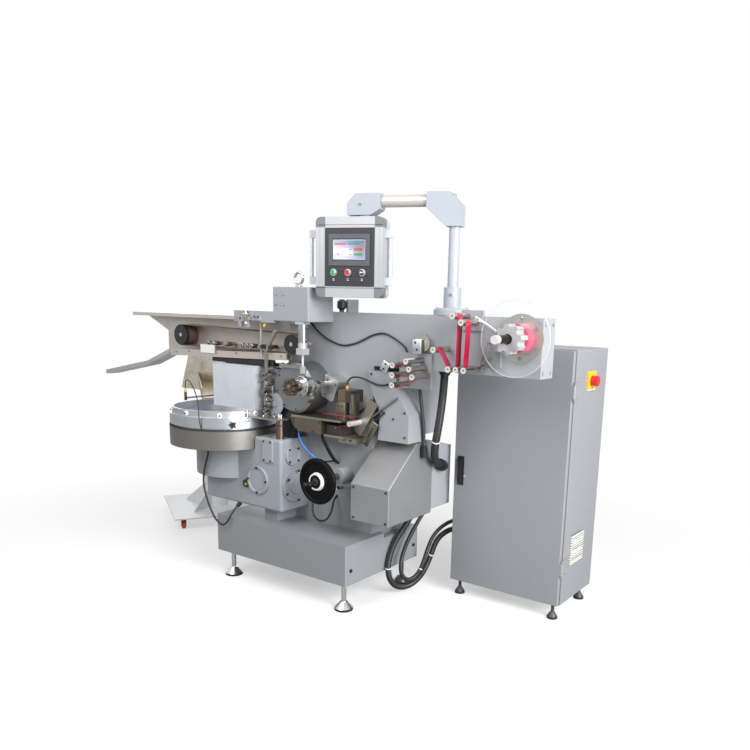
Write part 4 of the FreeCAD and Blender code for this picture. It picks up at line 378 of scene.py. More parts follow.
def rollerZones(bench):
    x, y, z = bench.axes()
    ends = y.below(101.5)
    body = y.between(101.5, 200)
    plates = y.above(227.5) * z.above(1060)
    shaft = bench.within(x, z, (1626, 1327), 18.5)
    sensor = x.between(1476, 1534) * y.above(186) * z.between(1199, 1271)
    return [{"mask": body, "colour": srgb(198, 192, 184), "rough": 0.24, "metal": 1},
            {"mask": ends, "colour": srgb(192, 190, 186), "rough": 0.4},
            {"mask": shaft * y.between(22, 101), "colour": srgb(62, 58, 54), "rough": 0.3, "metal": 1},
            {"mask": shaft * y.below(22), "colour": srgb(210, 208, 200), "rough": 0.35, "metal": 0.4},
            {"mask": sensor, "colour": srgb(96, 95, 94), "rough": 0.4, "metal": 0.3},
            {"mask": plates, "colour": tones["paint"], "rough": 0.42, "metal": 0}]


def cylinderZones(bench):
    x, y, z = bench.axes()
    tube = z.between(1262, 1346) * y.below(130) * x.below(575)
    regulator = x.above(600)
    return [{"mask": tube, "colour": srgb(176, 178, 182), "rough": 0.22, "metal": 1},
            {"mask": regulator, "colour": srgb(44, 46, 50), "rough": 0.4},
            {"mask": x.above(644), "colour": srgb(206, 210, 214), "rough": 0.45}]


def guideZones(bench):
    x, y, z = bench.axes()
    sensorBlock = x.between(711, 793) * z.above(992)
    sensorLeft = sensorBlock * x.below(757)
    clamp = x.between(655, 746) * z.between(833, 879) * y.below(200)
    rollerEnd = bench.within(x, z, (806, 897), 13.5) * y.below(200)
    return [{"mask": sensorBlock, "colour": srgb(96, 88, 80), "rough": 0.35, "metal": 0.9},
            {"mask": sensorLeft, "colour": srgb(128, 112, 94), "rough": 0.4, "metal": 0.8},
            {"mask": clamp, "colour": srgb(48, 44, 42), "rough": 0.4},
            {"mask": rollerEnd, "colour": srgb(220, 220, 216), "rough": 0.3, "metal": 0.6}]


def linkageZones(bench):
    x, y, z = bench.axes()
    nozzles = x.below(312) * y.below(112)
    return [{"mask": nozzles, "colour": tones["brass"], "rough": 0.3, "metal": 1}]


def rotorZones(bench):
    x, y, z = bench.axes()
    jaws = y.below(-2) * bench.within(x, z, (572, 1062), 43)
    hub = bench.within(x, z, (572, 1062), 15)
    return [{"mask": jaws, "colour": srgb(96, 74, 62), "rough": 0.35, "metal": 0.8},
            {"mask": hub * y.below(0), "colour": srgb(196, 190, 178), "rough": 0.2, "metal": 1}]


def cableZones(bench):
    x, y, z = bench.axes()
    hose = z.between(660, 845) * x.below(602).either(y.below(144)) * x.above(460)
    return [{"mask": hose, "colour": tones["blue"], "rough": 0.35}]


def fittingZones(bench):
    x, y, z = bench.axes()
    vent = z.below(420)
    plate = z.above(1090)
    # Darker stripes across the vent: painted shade in the gaps between its slats
    ventGapShade = vent * (z.wave(12)).below(0.3)
    return [{"mask": vent, "colour": srgb(196, 196, 190), "rough": 0.5},
            {"mask": ventGapShade, "colour": srgb(126, 126, 122), "rough": 0.6},
            {"mask": plate, "colour": tones["yellow"], "rough": 0.4}]


def knobZones(bench):
    x, y, z = bench.axes()
    collar = bench.within(x, z, (1626, 1327), 21) * y.below(140)
    nose = bench.within(x, z, (1626, 1327), 16) * y.below(118)
    return [{"mask": collar, "colour": srgb(70, 64, 58), "rough": 0.3, "metal": 1},
            {"mask": nose, "colour": srgb(206, 204, 196), "rough": 0.3, "metal": 1}]


def filmRollZones(bench):
    x, y, z = bench.axes()
    core = bench.within(x, z, (1626, 1327), 42)
    return [{"mask": core, "colour": srgb(196, 172, 140), "rough": 0.7}]


def leftPulleyZones(bench):
    x, y, z = bench.axes()
    return [{"mask": y.below(124), "colour": tones["black"], "rough": 0.45}]


def headZones(bench):
    x, y, z = bench.axes()
    return [{"mask": x.above(598), "colour": srgb(196, 198, 200), "rough": 0.3, "metal": 0.9}]


def hopperZones(bench):
    x, y, z = bench.axes()
    return [{"mask": x.above(-850) * z.below(1000), "colour": srgb(178, 162, 136), "rough": 0.36, "metal": 0.6}]


def deckZones(bench):
    x, y, z = bench.axes()
    bushing = z.below(874) * x.above(384)
    return [{"mask": bushing, "colour": srgb(128, 112, 100), "rough": 0.3, "metal": 1},
            {"mask": bushing * z.between(846, 856), "colour": srgb(66, 58, 52), "rough": 0.4}]


def postZones(bench):
    x, y, z = bench.axes()
    tube = bench.within(x, y, (1228, 318), 28) * z.above(1450)
    return [{"mask": tube, "colour": srgb(160, 165, 172), "rough": 0.3}]


def armZones(bench):
    x, y, z = bench.axes()
    cosine = math.cos(panelAxis["turn"])
    sine = math.sin(panelAxis["turn"])
    along = (x - 1228) * cosine + (y - 318) * sine
    aside = (y - 318) * cosine - (x - 1228) * sine
    tube = along.between(-330, -84) * bench.within(aside, z, (0, 1897), 27.5)
    return [{"mask": tube, "colour": srgb(190, 186, 181), "rough": 0.28, "metal": 0.3}]


def sightZones(bench):
    x, y, z = bench.axes()
    return [{"mask": bench.within(x, z, (190, 530), 20.5) * y.below(60), "colour": srgb(70, 62, 48),
             "rough": 0.3, "metal": 0.8}]


def discZones(bench):
    x, y, z = bench.axes()
    return [{"mask": 1 - bench.within(x, z, (1626, 1327), 152.5), "colour": srgb(206, 212, 214),
             "rough": 0.2}]


def handleZones(bench):
    across, back, z = panelAxes(bench)
    blocks = z.above(1738).either(z.below(1570))
    return [{"mask": blocks, "colour": srgb(188, 194, 200), "rough": 0.45}]


zoned = {
    "handwheel": ("blackHandwheel", srgb(9, 9, 10), wheelZones, {"rough": 0.42, "specular": 0.10}),
    "feed_drum": ("brushedDrum", tones["steel"], drumZones,
                  {"grain": (1, 1, 0.02), "fine": 220, "rough": 0.4, "metal": 1, "smudge": steelClouds}),
    "levelling_feet": ("chromedFoot", tones["chrome"], footZones, {"rough": 0.2, "metal": 1}),
    "cabinet_feet": ("cabinetFoot", srgb(60, 60, 62), footZones, {"rough": 0.5}),
    "stand_casters": ("casterParts", srgb(150, 152, 154), casterZones, {"rough": 0.35, "metal": 0.7}),
    "panel_housing": ("panelProfile", tones["aluminium"], panelZones,
                      {"grain": (1, 1, 0.03), "fine": 420, "rough": 0.38, "metal": 0.25}),
    "panel_keypad": ("keypadFoil", srgb(34, 34, 38), keypadZones, {"rough": 0.5, "fine": 900}),
    "panel_buttons": ("buttonCaps", srgb(184, 186, 188), buttonZones, {"rough": 0.25, "metal": 0.6}),
    "panel_handles": ("panelHandles", srgb(226, 228, 230), handleZones, {"rough": 0.34, "metal": 0.2}),
    "film_rollers": ("filmRollers", srgb(182, 176, 164), rollerZones, {"rough": 0.34, "metal": 1}),
    "air_cylinder": ("cylinderParts", srgb(196, 198, 202), cylinderZones, {"rough": 0.34, "metal": 0.6}),
    "film_guide": ("filmGuide", srgb(168, 162, 150), guideZones,
                   {"rough": 0.32, "metal": 1, "smudge": steelClouds}),
    "head_linkage": ("headLinkage", srgb(184, 180, 172), linkageZones,
                     {"rough": 0.28, "metal": 1, "smudge": steelClouds}),
    "gripper_rotor": ("gripperParts", tones["chrome"], rotorZones, {"rough": 0.16, "metal": 1}),
    "sensor_cables": ("cableSheaths", tones["rubber"], cableZones, {"rough": 0.5}),
    "cabinet_fittings": ("cabinetFittings", srgb(196, 196, 190), fittingZones, {"rough": 0.5}),
    "reel_knob": ("reelKnob", srgb(160, 160, 162), knobZones, {"rough": 0.42}),
    "film_roll": ("filmRoll", srgb(226, 40, 96), filmRollZones, {"rough": 0.2, "coat": 0.6, "fine": 160,
                                                                "grain": (1, 14, 1)}),
    "conveyor_fittings": ("conveyorFittings", srgb(168, 164, 156), conveyorZones,
                          {"rough": 0.34, "metal": 1}),
    "left_pulley": ("laggedPulley", tones["brownRubber"], leftPulleyZones, {"rough": 0.6}),
    "right_pulley": ("smallPulley", tones["black"], None, {"rough": 0.5}),
    "reel_disc": ("reelDisc", srgb(176, 170, 158), None,
                  {"rough": 0.3, "metal": 1, "smudge": steelClouds, "fine": 240}),
    "film_web": ("filmWeb", tones["pink"], None, {"rough": 0.22, "coat": 0.5, "fine": 120,
                                                  "grain": (1, 1, 0.1), "height": 0.0002}),
    "clear_disc": ("clearDisc", srgb(206, 212, 214), discZones, {"rough": 0.10, "alpha": "rim", "coat": 0.4,
                                                                 "spread": 0.02}),
    "head_housing": ("headDisc", srgb(148, 150, 152), headZones, {"rough": 0.32, "metal": 0.9, "fine": 260,
                                                                  "smudge": steelClouds}),
    "hopper": ("hopperSheet", srgb(188, 180, 166), hopperZones, {"rough": 0.36, "metal": 0.6, "fine": 260,
                                                            "grain": (1, 1, 0.02), "smudge": steelClouds}),
    "casting_covers": ("castCovers", tones["cast"], sightZones, {"rough": 0.46, "fine": 500,
                                                                 "height": 0.00008}),
    "feed_deck": ("deckPlate", srgb(186, 184, 180), deckZones, {"rough": 0.3, "metal": 1,
                                                                "smudge": steelClouds}),
    "panel_post": ("postCoat", tones["light"], postZones, {"rough": 0.4, "fine": 700}),
    "panel_arm": ("armCoat", tones["light"], armZones, {"rough": 0.4, "fine": 700}),
}
for node, (title, colour, zones, values) in zoned.items():
    dress(makeFinish(title, colour, zones=zones, **values), node)
print("zoned finishes made")


# Free conduits: each route's points are the ones that its tube follows, in the machine's millimetres
conduits = {
    "hanging_conduit": {"ties": (0.62,), "diameter": 38, "length": 0.518, "stiffness": "limp", "lay": "hanging", "route": (
        (1200, 322, 1144), (1197, 322, 1085), (1190, 323, 1010), (1178, 327, 935), (1163, 333, 868),
        (1146, 345, 812), (1131, 364, 766), (1117, 391, 730), (1107, 424, 706), (1098, 460, 694))},
    "side_conduit": {"ties": (), "diameter": 18, "length": 0.355, "stiffness": "medium", "lay": "hanging", "route": (
        (1100, 268, 1144), (1100, 270, 1100), (1100, 279, 1045), (1099, 292, 990), (1097, 306, 938),
        (1095, 318, 890), (1093, 326, 845), (1092, 330, 801))},
    "floor_conduit_a": {"ties": (0.34, 0.78), "diameter": 30, "length": 1.014, "stiffness": "limp", "lay": "loose", "route": (
        (950, 480, 446), (945, 462, 408), (932, 410, 350), (920, 358, 292), (915, 322, 230),
        (914, 304, 168), (914, 312, 111), (917, 344, 62), (923, 393, 32), (932, 450, 22),
        (942, 507, 32), (954, 555, 65), (967, 580, 115), (982, 592, 171), (996, 602, 228),
        (1016, 614, 270), (1044, 630, 298), (1070, 648, 313), (1096, 666, 321))},
    "floor_conduit_b": {"ties": (0.60,), "diameter": 22, "length": 0.907, "stiffness": "limp", "lay": "loose", "route": (
        (998, 508, 446), (984, 490, 408), (962, 456, 340), (952, 410, 275), (948, 378, 215),
        (947, 366, 165), (948, 370, 125), (949, 390, 90), (952, 423, 69), (956, 463, 65),
        (960, 500, 80), (964, 527, 109), (969, 547, 151), (976, 564, 205), (988, 582, 260),
        (1010, 604, 306), (1038, 632, 338), (1066, 660, 356), (1094, 690, 368))},
}
corrugation = {"pitch": 0.0072, "depth": 0.0017, "sides": 20}


def routePoints(name, route):
    line = bpy.data.curves.new(name + "Route", "CURVE")
    line.dimensions = "3D"
    spline = line.splines.new("NURBS")
    spline.points.add(len(route) - 1)
    for point, spot in zip(spline.points, route):
        point.co = (*at(*spot), 1)
    spline.order_u = 3
    spline.use_endpoint_u = True
    spline.resolution_u = 12
    holder = bpy.data.objects.new(name + "Route", line)
    bpy.context.scene.collection.objects.link(holder)
    bpy.context.view_layer.update()
    seen = bpy.data.meshes.new_from_object(holder.evaluated_get(bpy.context.evaluated_depsgraph_get()))
    points = [vertex.co.copy() for vertex in seen.vertices]
    bpy.data.objects.remove(holder)
    return points


def evenly(points, step):
    spots = [points[0].copy()]
    carried = 0.0
    for start, end in zip(points, points[1:]):
        run = (end - start).length
        while carried + run >= step:
            share = (step - carried) / run
            start = start.lerp(end, share)
            run = (end - start).length
            carried = 0.0
            spots.append(start.copy())
        carried += run
    spots.append(points[-1].copy())
    return spots


def sweptTube(name, points, radii, sides):
    rings = []
    side = None
    for index, spot in enumerate(points):
        ahead = points[min(index + 1, len(points) - 1)] - points[max(index - 1, 0)]
        ahead.normalize()
        if side is None:
            side = ahead.orthogonal().normalized()
        side = (side - ahead * side.dot(ahead)).normalized()
        other = ahead.cross(side)
        rings.append([spot + (side * math.cos(angle) + other * math.sin(angle)) * radii[index]
                      for angle in (2 * math.pi * step / sides for step in range(sides))])
    corners = [corner for ring in rings for corner in ring]
    faces = []
    for ring in range(len(rings) - 1):
        for step in range(sides):
            beside = (step + 1) % sides
            faces.append((ring * sides + step, ring * sides + beside,
                          (ring + 1) * sides + beside, (ring + 1) * sides + step))
    faces.append(tuple(reversed(range(sides))))
    faces.append(tuple(range((len(rings) - 1) * sides, len(rings) * sides)))
    mesh = bpy.data.meshes.new(name)
    mesh.from_pydata(corners, [], faces)
    for face in mesh.polygons:
        face.use_smooth = len(face.vertices) == 4
    piece = bpy.data.objects.new(name, mesh)
    bpy.context.scene.collection.objects.link(piece)
    return piece


conduitFinish = makeFinish("ribbedConduit", srgb(30, 31, 35), 0.15, 14, 700, rough=0.42, height=0.00008,
                           coat=0.15)
for node, conduit in conduits.items():
    spots = evenly(routePoints(node, conduit["route"]), corrugation["pitch"] / 4)
    outer = conduit["diameter"] / 2000
    ribs = (outer, outer, outer - corrugation["depth"], outer - corrugation["depth"])
    radii = [ribs[index % 4] for index in range(len(spots))]
    hose = sweptTube(node + "_ribbed", spots, radii, corrugation["sides"])
    hose.data.materials.append(conduitFinish)
    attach(hose, "frame")
    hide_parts(node)
    ties = []
    for share in conduit["ties"]:
        index = int(share * (len(spots) - 1))
        start = spots[index] * 1
        ahead = (spots[index + 4] - start).normalized()
        band = sweptTube(node + "_tie_" + str(len(ties)), [start + ahead * step for step in
                                                           (0, 0.0008, 0.0048, 0.0056)],
                         [outer + 0.0002, outer + 0.0013, outer + 0.0013, outer + 0.0002], 28)
        band.data.materials.append(finishes["whitePlastic"])
        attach(band, "frame")
        ties.append(band)
print("conduits laid")


# Small parts: each kind is shaped once, and copies with meshes of their own are seated on the surfaces
def clearPick():
    if bpy.context.object and bpy.context.object.mode != "OBJECT":
        bpy.ops.object.mode_set(mode="OBJECT")
    bpy.ops.object.select_all(action="DESELECT")


def pickOnly(piece):
    clearPick()
    piece.select_set(True)
    bpy.context.view_layer.objects.active = piece


# Leaves the piece in edit mode with only the faces picked that pass the test
def editFaces(piece, test):
    pickOnly(piece)
    bpy.ops.object.mode_set(mode="EDIT")
    bpy.ops.mesh.select_mode(type="FACE")
    bpy.ops.mesh.select_all(action="DESELECT")
    bpy.ops.object.mode_set(mode="OBJECT")
    for face in piece.data.polygons:
        face.select = test(face)
    bpy.ops.object.mode_set(mode="EDIT")


def leaveEdit():
    bpy.ops.object.mode_set(mode="OBJECT")


def extrudeBy(offset, grow=1.0):
    bpy.ops.mesh.extrude_region_move(TRANSFORM_OT_translate={"value": offset})
    if grow != 1.0:
        bpy.ops.transform.resize(value=(grow, grow, grow))


def softened(piece, width, steps=2, limit=30):
    pickOnly(piece)
    bevel = piece.modifiers.new("edges", "BEVEL")
    bevel.width = width
    bevel.segments = steps
    bevel.angle_limit = math.radians(limit)
    bpy.ops.object.modifier_apply(modifier="edges")
    bpy.ops.object.shade_smooth_by_angle(angle=math.radians(35))
    return piece


def newCylinder(name, radius, height, sides=24, middle=(0, 0, 0), facing=(0, 0, 1)):
    clearPick()
    bpy.ops.mesh.primitive_cylinder_add(vertices=sides, radius=radius, depth=height)
    piece = bpy.context.object
    piece.name = name
    piece.data.transform(Matrix.Translation((0, 0, height / 2)))
    turn = Vector((0, 0, 1)).rotation_difference(Vector(facing)).to_matrix().to_4x4()
    piece.data.transform(Matrix.Translation(Vector(middle)) @ turn)
    return piece


def newBlock(name, low, high, turn=0, about=(0, 0, 0)):
    clearPick()
    bpy.ops.mesh.primitive_cube_add(size=1)
    piece = bpy.context.object
    piece.name = name
    size = [b - a for a, b in zip(low, high)]
    middle = [(a + b) / 2 for a, b in zip(low, high)]
    place = Matrix.Translation(Vector(middle)) @ Matrix.Diagonal((*size, 1))
    swing = (Matrix.Translation(Vector(about)) @ Matrix.Rotation(math.radians(turn), 4, "Z")
             @ Matrix.Translation(-Vector(about)))
    piece.data.transform(swing @ place)
    return piece


def joined(name, parts):
    clearPick()
    for part in parts:
        part.select_set(True)
    bpy.context.view_layer.objects.active = parts[0]
    if len(parts) > 1:
        bpy.ops.object.join()
    parts[0].name = name
    parts[0].data.name = name
    return parts[0]


# Millimetres of the machine to metres of the frame, with the place left in the mesh
def settle(piece, finish, body, scaled=True):
    if scaled:
        piece.data.transform(Matrix.Translation((-footInset / 1000, -footInset / 1000, 0))
                             @ Matrix.Scale(0.001, 4))
    piece.data.materials.clear()
    piece.data.materials.append(finish)
    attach(piece, body)
    return piece


def shapeSocketScrew():
    screw = newCylinder("socketScrew", 1, 0.9, 18)
    softened(screw, 0.12, 2)
    editFaces(screw, lambda face: face.normal.z > 0.99 and face.area > 1.5)
    bpy.ops.mesh.inset(thickness=0.36)
    extrudeBy((0, 0, -0.55), 0.92)
    leaveEdit()
    return screw


def shapeHexBolt():
    head = newCylinder("hexBolt", 1, 0.7, 6, (0, 0, 0.14))
    softened(head, 0.10, 2)
    washer = softened(newCylinder("hexWasher", 1.25, 0.16, 28), 0.04, 1)
    return joined("hexBolt", [head, washer])


def shapeWasherScrew():
    washer = softened(newCylinder("wideWasher", 1, 0.3, 32), 0.08, 2)
    head = newCylinder("washerHead", 0.42, 0.62, 16)
    softened(head, 0.07, 2)
    return joined("washerScrew", [washer, head])


def shapeStarKnob():
    knob = newCylinder("starKnob", 0.72, 0.8, 20)
    editFaces(knob, lambda face: abs(face.normal.z) < 0.1
              and (math.degrees(math.atan2(face.normal.y, face.normal.x)) % 72) < 36)
    bpy.ops.mesh.extrude_region_shrink_fatten(TRANSFORM_OT_shrink_fatten={"value": 0.34})
    leaveEdit()
    softened(knob, 0.07, 2)
    hub = softened(newCylinder("starHub", 0.42, 1.05, 20), 0.06, 2)
    return joined("starKnob", [knob, hub])


def shapeDomeNut():
    nut = newCylinder("domeNut", 1, 0.6, 6)
    softened(nut, 0.08, 2)
    clearPick()
    bpy.ops.mesh.primitive_uv_sphere_add(segments=20, ring_count=10, radius=0.72, location=(0, 0, 0.6))
    return joined("domeNut", [nut, bpy.context.object])


shapes = {"socket": shapeSocketScrew(), "hex": shapeHexBolt(), "washer": shapeWasherScrew(),
          "star": shapeStarKnob(), "dome": shapeDomeNut()}


# A spot is a point just off the surface; the part is seated where the ray from it meets the solid
def seated(spot, facing, reach=40):
    facing = Vector(facing).normalized()
    start = at(*spot) + facing * 0.004
    depsgraph = bpy.context.evaluated_depsgraph_get()
    hit, place, normal, index, thing, matrix = bpy.context.scene.ray_cast(depsgraph, start, -facing,
                                                                         distance=reach / 1000)
    if not hit:
        print("nothing under", spot)
        return Vector(spot)
    return place * 1000 + Vector((footInset, footInset, 0))


def fasten(name, shape, spots, facing, radius, finish, body, slot):
    copies = []
    seats = [(seated(spot[:3], spot[3] if len(spot) > 3 else facing),
              Vector(spot[3] if len(spot) > 3 else facing).normalized()) for spot in spots]
    for seat, outward in seats:
        copy = shapes[shape].copy()
        copy.data = shapes[shape].data.copy()
        bpy.context.scene.collection.objects.link(copy)
        turn = Vector((0, 0, 1)).rotation_difference(outward).to_matrix().to_4x4()
        sunk = seat - outward * radius * 0.06
        copy.data.transform(Matrix.Translation(sunk) @ turn @ Matrix.Scale(radius, 4))
        copies.append(copy)
    return settle(joined(name, copies), finishes[finish], body)


def around(middle, radius, count, first=0, plane="XZ"):
    spots = []
    for step in range(count):
        angle = math.radians(first + 360 * step / count)
        along = radius * math.cos(angle)
        up = radius * math.sin(angle)
        offset = (along, 0, up) if plane == "XZ" else (0, along, up) if plane == "YZ" else (along, up, 0)
        spots.append(tuple(part + shift for part, shift in zip(middle, offset)))
    return spots


towardsFront = (0, -1, 0)
towardsRight = (1, 0, 0)
upwards = (0, 0, 1)
screws = {
    "housing_screws": ("socket", [(x, 65, z) for x in (392, 441) for z in (1441, 1487)], towardsFront, 7,
                       "aluminium", "frame", "aluminium_body"),
    "round_cover_screws": ("socket", around((278, 28, 561), 64, 4), towardsFront, 6.5, "screw", "frame",
                           "cast_grey"),
    "pad_screws": ("socket", [(x, 30, z) for x in (330, 376) for z in (672, 768)], towardsFront, 5,
                   "screw", "frame", "cast_grey"),
    "side_cover_screws": ("socket", around((452, 120, 700), 44, 4, 45, "YZ"), towardsRight, 6, "screw",
                          "frame", "cast_grey"),
    "bearing_screws": ("socket", around((462, 135, 545), 76, 6, 30, "YZ"), towardsRight, 7, "screw",
                       "frame", "cast_grey"),
    "casting_bolts": ("socket", [(290, 80, 790), (352, 66, 790), (352, 150, 790), (290, 160, 790)],
                      upwards, 7, "steelLong", "frame", "brushed_steel"),
    "knife_screws": ("socket", [(466, 100, 891), (464, 100, 872), (470, 100, 850), (489, 100, 840),
                                (594, 100, 840), (640, 100, 891)], towardsFront, 4.5, "blackPlastic",
                     "frame", "black_plastic"),
    "cover_screws": ("socket", [(862, 215, 1130), (994, 215, 1130), (994, 215, 930),
                                (1058, 215, 964), (1062, 215, 850), (927, 215, 960)], towardsFront, 5,
                     "screw", "frame", "brushed_steel"),
    "hood_screws": ("socket", [(871, 80, 466), (1060, 80, 466), (871, 80, 612), (1060, 80, 612)],
                    towardsFront, 5.5, "screw", "frame", "brushed_steel"),
    "base_bolts": ("hex", [(893, 38, 214), (893, 552, 214)], towardsRight, 8, "screw", "frame",
                   "chromed_steel"),
    "beam_end_bolts": ("hex", [(1712, 262, 1190), (1712, 262, 1386), (1712, 333, 1386),
                               (1712, 333, 1190)], towardsRight, 8, "paint", "frame", "grey_paint"),
    "ring_screws": ("washer", [(-3, -172, 896, (0.08, -1, 0)), (160, -99, 892, (0.69, -0.72, 0)),
                               (-160, -137, 896, (-0.5, -0.86, 0)), (238, 60, 896, (0.99, -0.13, 0))],
                    towardsFront, 13, "whitePlastic", "frame", "white_plastic"),
    "bar_screws": ("socket", [(-400, 88, 1172), (-293, 88, 1180), (81, 88, 1188), (400, 88, 1190)],
                   towardsFront, 5, "steelLong", "frame", "brushed_steel"),
    "boss_screws": ("socket", around((1136, 214, 1284), 28, 4, 50), towardsFront, 4, "steelLong", "frame",
                    "brushed_steel"),
    "post_flange_bolts": ("dome", around((1228, 318, 1450), 66, 4, 45, "XY"), upwards, 7, "chrome",
                          "frame", "chromed_steel"),
    "arm_screws": ("socket", [(828, 157, 1882)], (0.3, -0.95, 0), 6, "steelLong", "panel_arm",
                   "brushed_steel"),
    "sleeve_screws": ("socket", [(1240, 285, 1498)], (0.3, -0.95, 0), 6, "steelLong", "frame",
                      "brushed_steel"),
    "gripper_ring_bolts": ("socket", around((572, 40, 1062), 41, 6, 30), towardsFront, 3.4,
                           "blackPlastic", "gripper_rotor", "black_plastic"),
    "head_disc_screws": ("socket", around((462, 100, 1040), 104, 8, 12)[1:7], towardsFront, 4,
                         "blackPlastic", "frame", "black_plastic"),
    "motor_box_screws": ("socket", [(640, 160, 1086), (618, 160, 1020), (688, 160, 1068)], towardsFront,
                         4, "blackPlastic", "frame", "black_plastic"),
    "block_screws": ("socket", [(752, 150, 812), (792, 150, 812)], towardsFront, 5, "blackPlastic",
                     "frame", "black_plastic"),
    "pusher_screws": ("socket", [(258, 51, 1376), (284, 51, 1376), (156, 51, 1366)], towardsFront, 4.5,
                      "blackPlastic", "frame", "black_plastic"),
    "side_knobs": ("star", [(207, -60, 846, (0.84, -0.54, 0)), (-245, -58, 846, (-0.82, -0.57, 0))],
                   towardsFront, 17, "blackPlastic", "frame", "black_plastic"),
    "deck_screws": ("dome", [(300, 60, 892), (345, 90, 892)], upwards, 5, "chrome", "frame",
                    "chromed_steel"),
    "door_lock": ("washer", [(1181, 561, 627)], towardsFront, 9, "chrome", "cabinet_door",
                  "chromed_steel"),
    "stand_bolts": ("hex", [(-770, 560, 75), (-940, 560, 75)], upwards, 8, "steelLong", "frame",
                    "brushed_steel"),
}
for name, values in screws.items():
    fasten(name, *values)
ringHeads = [tuple(part + 12 * way for part, way in zip(spot[:3], spot[3])) + (spot[3],)
             for spot in screws["ring_screws"][1]]
fasten("ring_screw_heads", "socket", ringHeads, towardsFront, 4.6, "screw", "frame", "black_plastic")
print("fasteners seated")


# Operator panel: glass with a plain drawn interface, and marks beside the buttons
def panelSpot(across, back, up):
    cosine = math.cos(panelAxis["turn"])
    sine = math.sin(panelAxis["turn"])
    return (panelAxis["across"] + across * cosine - back * sine,
            panelAxis["back"] + across * sine + back * cosine, up)


screen = {"left": -131, "right": 25, "bottom": 1642, "top": 1728, "front": -66.6, "depth": 2.6}


def screenZones(bench):
    across, back, z = panelAxes(bench)
    cells = [((-131, 25), (1642, 1728), srgb(196, 206, 232)), ((-129, 23), (1652, 1704), srgb(206, 196, 232)),
             ((-129, 23), (1718, 1726), srgb(176, 206, 236)),
             ((-123, -68), (1706, 1714), srgb(226, 120, 92)), ((-62, -6), (1706, 1714), srgb(112, 190, 198)),
             ((-90, -75), (1680, 1692), srgb(244, 246, 250)), ((-71, -56), (1680, 1692), srgb(244, 246, 250)),
             ((-90, -75), (1660, 1672), srgb(244, 246, 250)), ((-71, -56), (1660, 1672), srgb(244, 246, 250)),
             ((-112, -102), (1683, 1688), srgb(120, 112, 170)), ((-50, -42), (1683, 1688), srgb(120, 112, 170)),
             ((-112, -102), (1663, 1668), srgb(120, 112, 170)), ((-50, -42), (1663, 1668), srgb(120, 112, 170)),
             ((-30, 10), (1679, 1693), srgb(226, 132, 88)), ((-30, 10), (1659, 1671), srgb(92, 186, 120))]
    return [{"mask": across.between(*wide) * z.between(*tall), "colour": toned(colour, 0.72), "rough": 0.18}
            for wide, tall, colour in cells]


glass = newBlock("screen_glass", (screen["left"], screen["front"], screen["bottom"]),
                 (screen["right"], screen["front"] + screen["depth"], screen["top"]))
softened(glass, 0.8, 2)
editFaces(glass, lambda face: face.normal.y < -0.9 and face.area > 1000)
bpy.ops.mesh.inset(thickness=2.5)
extrudeBy((0, 0.3, 0))
leaveEdit()
glass.data.transform(Matrix.Translation(Vector(panelSpot(0, 0, 0)))
                     @ Matrix.Rotation(panelAxis["turn"], 4, "Z"))
settle(glass, makeFinish("screenFace", srgb(60, 62, 70), 0.02, 6, 500, rough=0.15, coat=0.5,
                         zones=screenZones, height=0.000005), "operator_panel")

marks = [newBlock("mark", (left, -63.4, up), (left + 9, -62.6, up + 2.2))
         for left in (-134, -64, 4) for up in (1557, 1551)]
for mark in marks:
    mark.data.transform(Matrix.Translation(Vector(panelSpot(0, 0, 0)))
                        @ Matrix.Rotation(panelAxis["turn"], 4, "Z"))
settle(softened(joined("button_marks", marks), 0.3, 1), finishes["whitePlastic"], "operator_panel")
selector = newBlock("selector_grip", (5, -84, 1583), (17, -70, 1589))
softened(selector, 1.6, 3)
selector.data.transform(Matrix.Translation(Vector(panelSpot(0, 0, 0)))
                        @ Matrix.Rotation(panelAxis["turn"], 4, "Z"))
settle(selector, finishes["whitePlastic"], "operator_panel")
print("operator panel dressed")


# White clamp band round the feeding bowl, with a disc and a hooked post on it
bowlMiddle = (-25, 95)
band = {"radius": 268.5, "thick": 11, "low": 829, "high": 862, "from": -36, "to": -12, "steps": 14}


def arcBand(name, values):
    clearPick()
    bpy.ops.mesh.primitive_plane_add(size=1)
    piece = bpy.context.object
    piece.name = name
    size = Matrix.Diagonal((values["thick"], values["high"] - values["low"], 1, 1))
    middle = Matrix.Translation((values["radius"] + values["thick"] / 2, 0,
                                 (values["high"] + values["low"]) / 2))
    start = Matrix.Rotation(math.radians(values["from"]), 4, "Z")
    piece.data.transform(start @ middle @ Matrix.Rotation(math.radians(90), 4, "X") @ size)
    pickOnly(piece)
    bpy.ops.object.mode_set(mode="EDIT")
    bpy.ops.mesh.select_all(action="SELECT")
    bpy.ops.mesh.spin(steps=values["steps"], angle=math.radians(values["to"] - values["from"]),
                      center=(0, 0, 0), axis=(0, 0, 1), dupli=False)
    bpy.ops.mesh.select_all(action="SELECT")
    bpy.ops.mesh.remove_doubles(threshold=0.001)
    bpy.ops.mesh.normals_make_consistent(inside=False)
    bpy.ops.object.mode_set(mode="OBJECT")
    piece.data.transform(Matrix.Translation((*bowlMiddle, 0)))
    return piece


def bowlSpot(angle, radius, up):
    return (bowlMiddle[0] + radius * math.cos(math.radians(angle)),
            bowlMiddle[1] + radius * math.sin(math.radians(angle)), up)


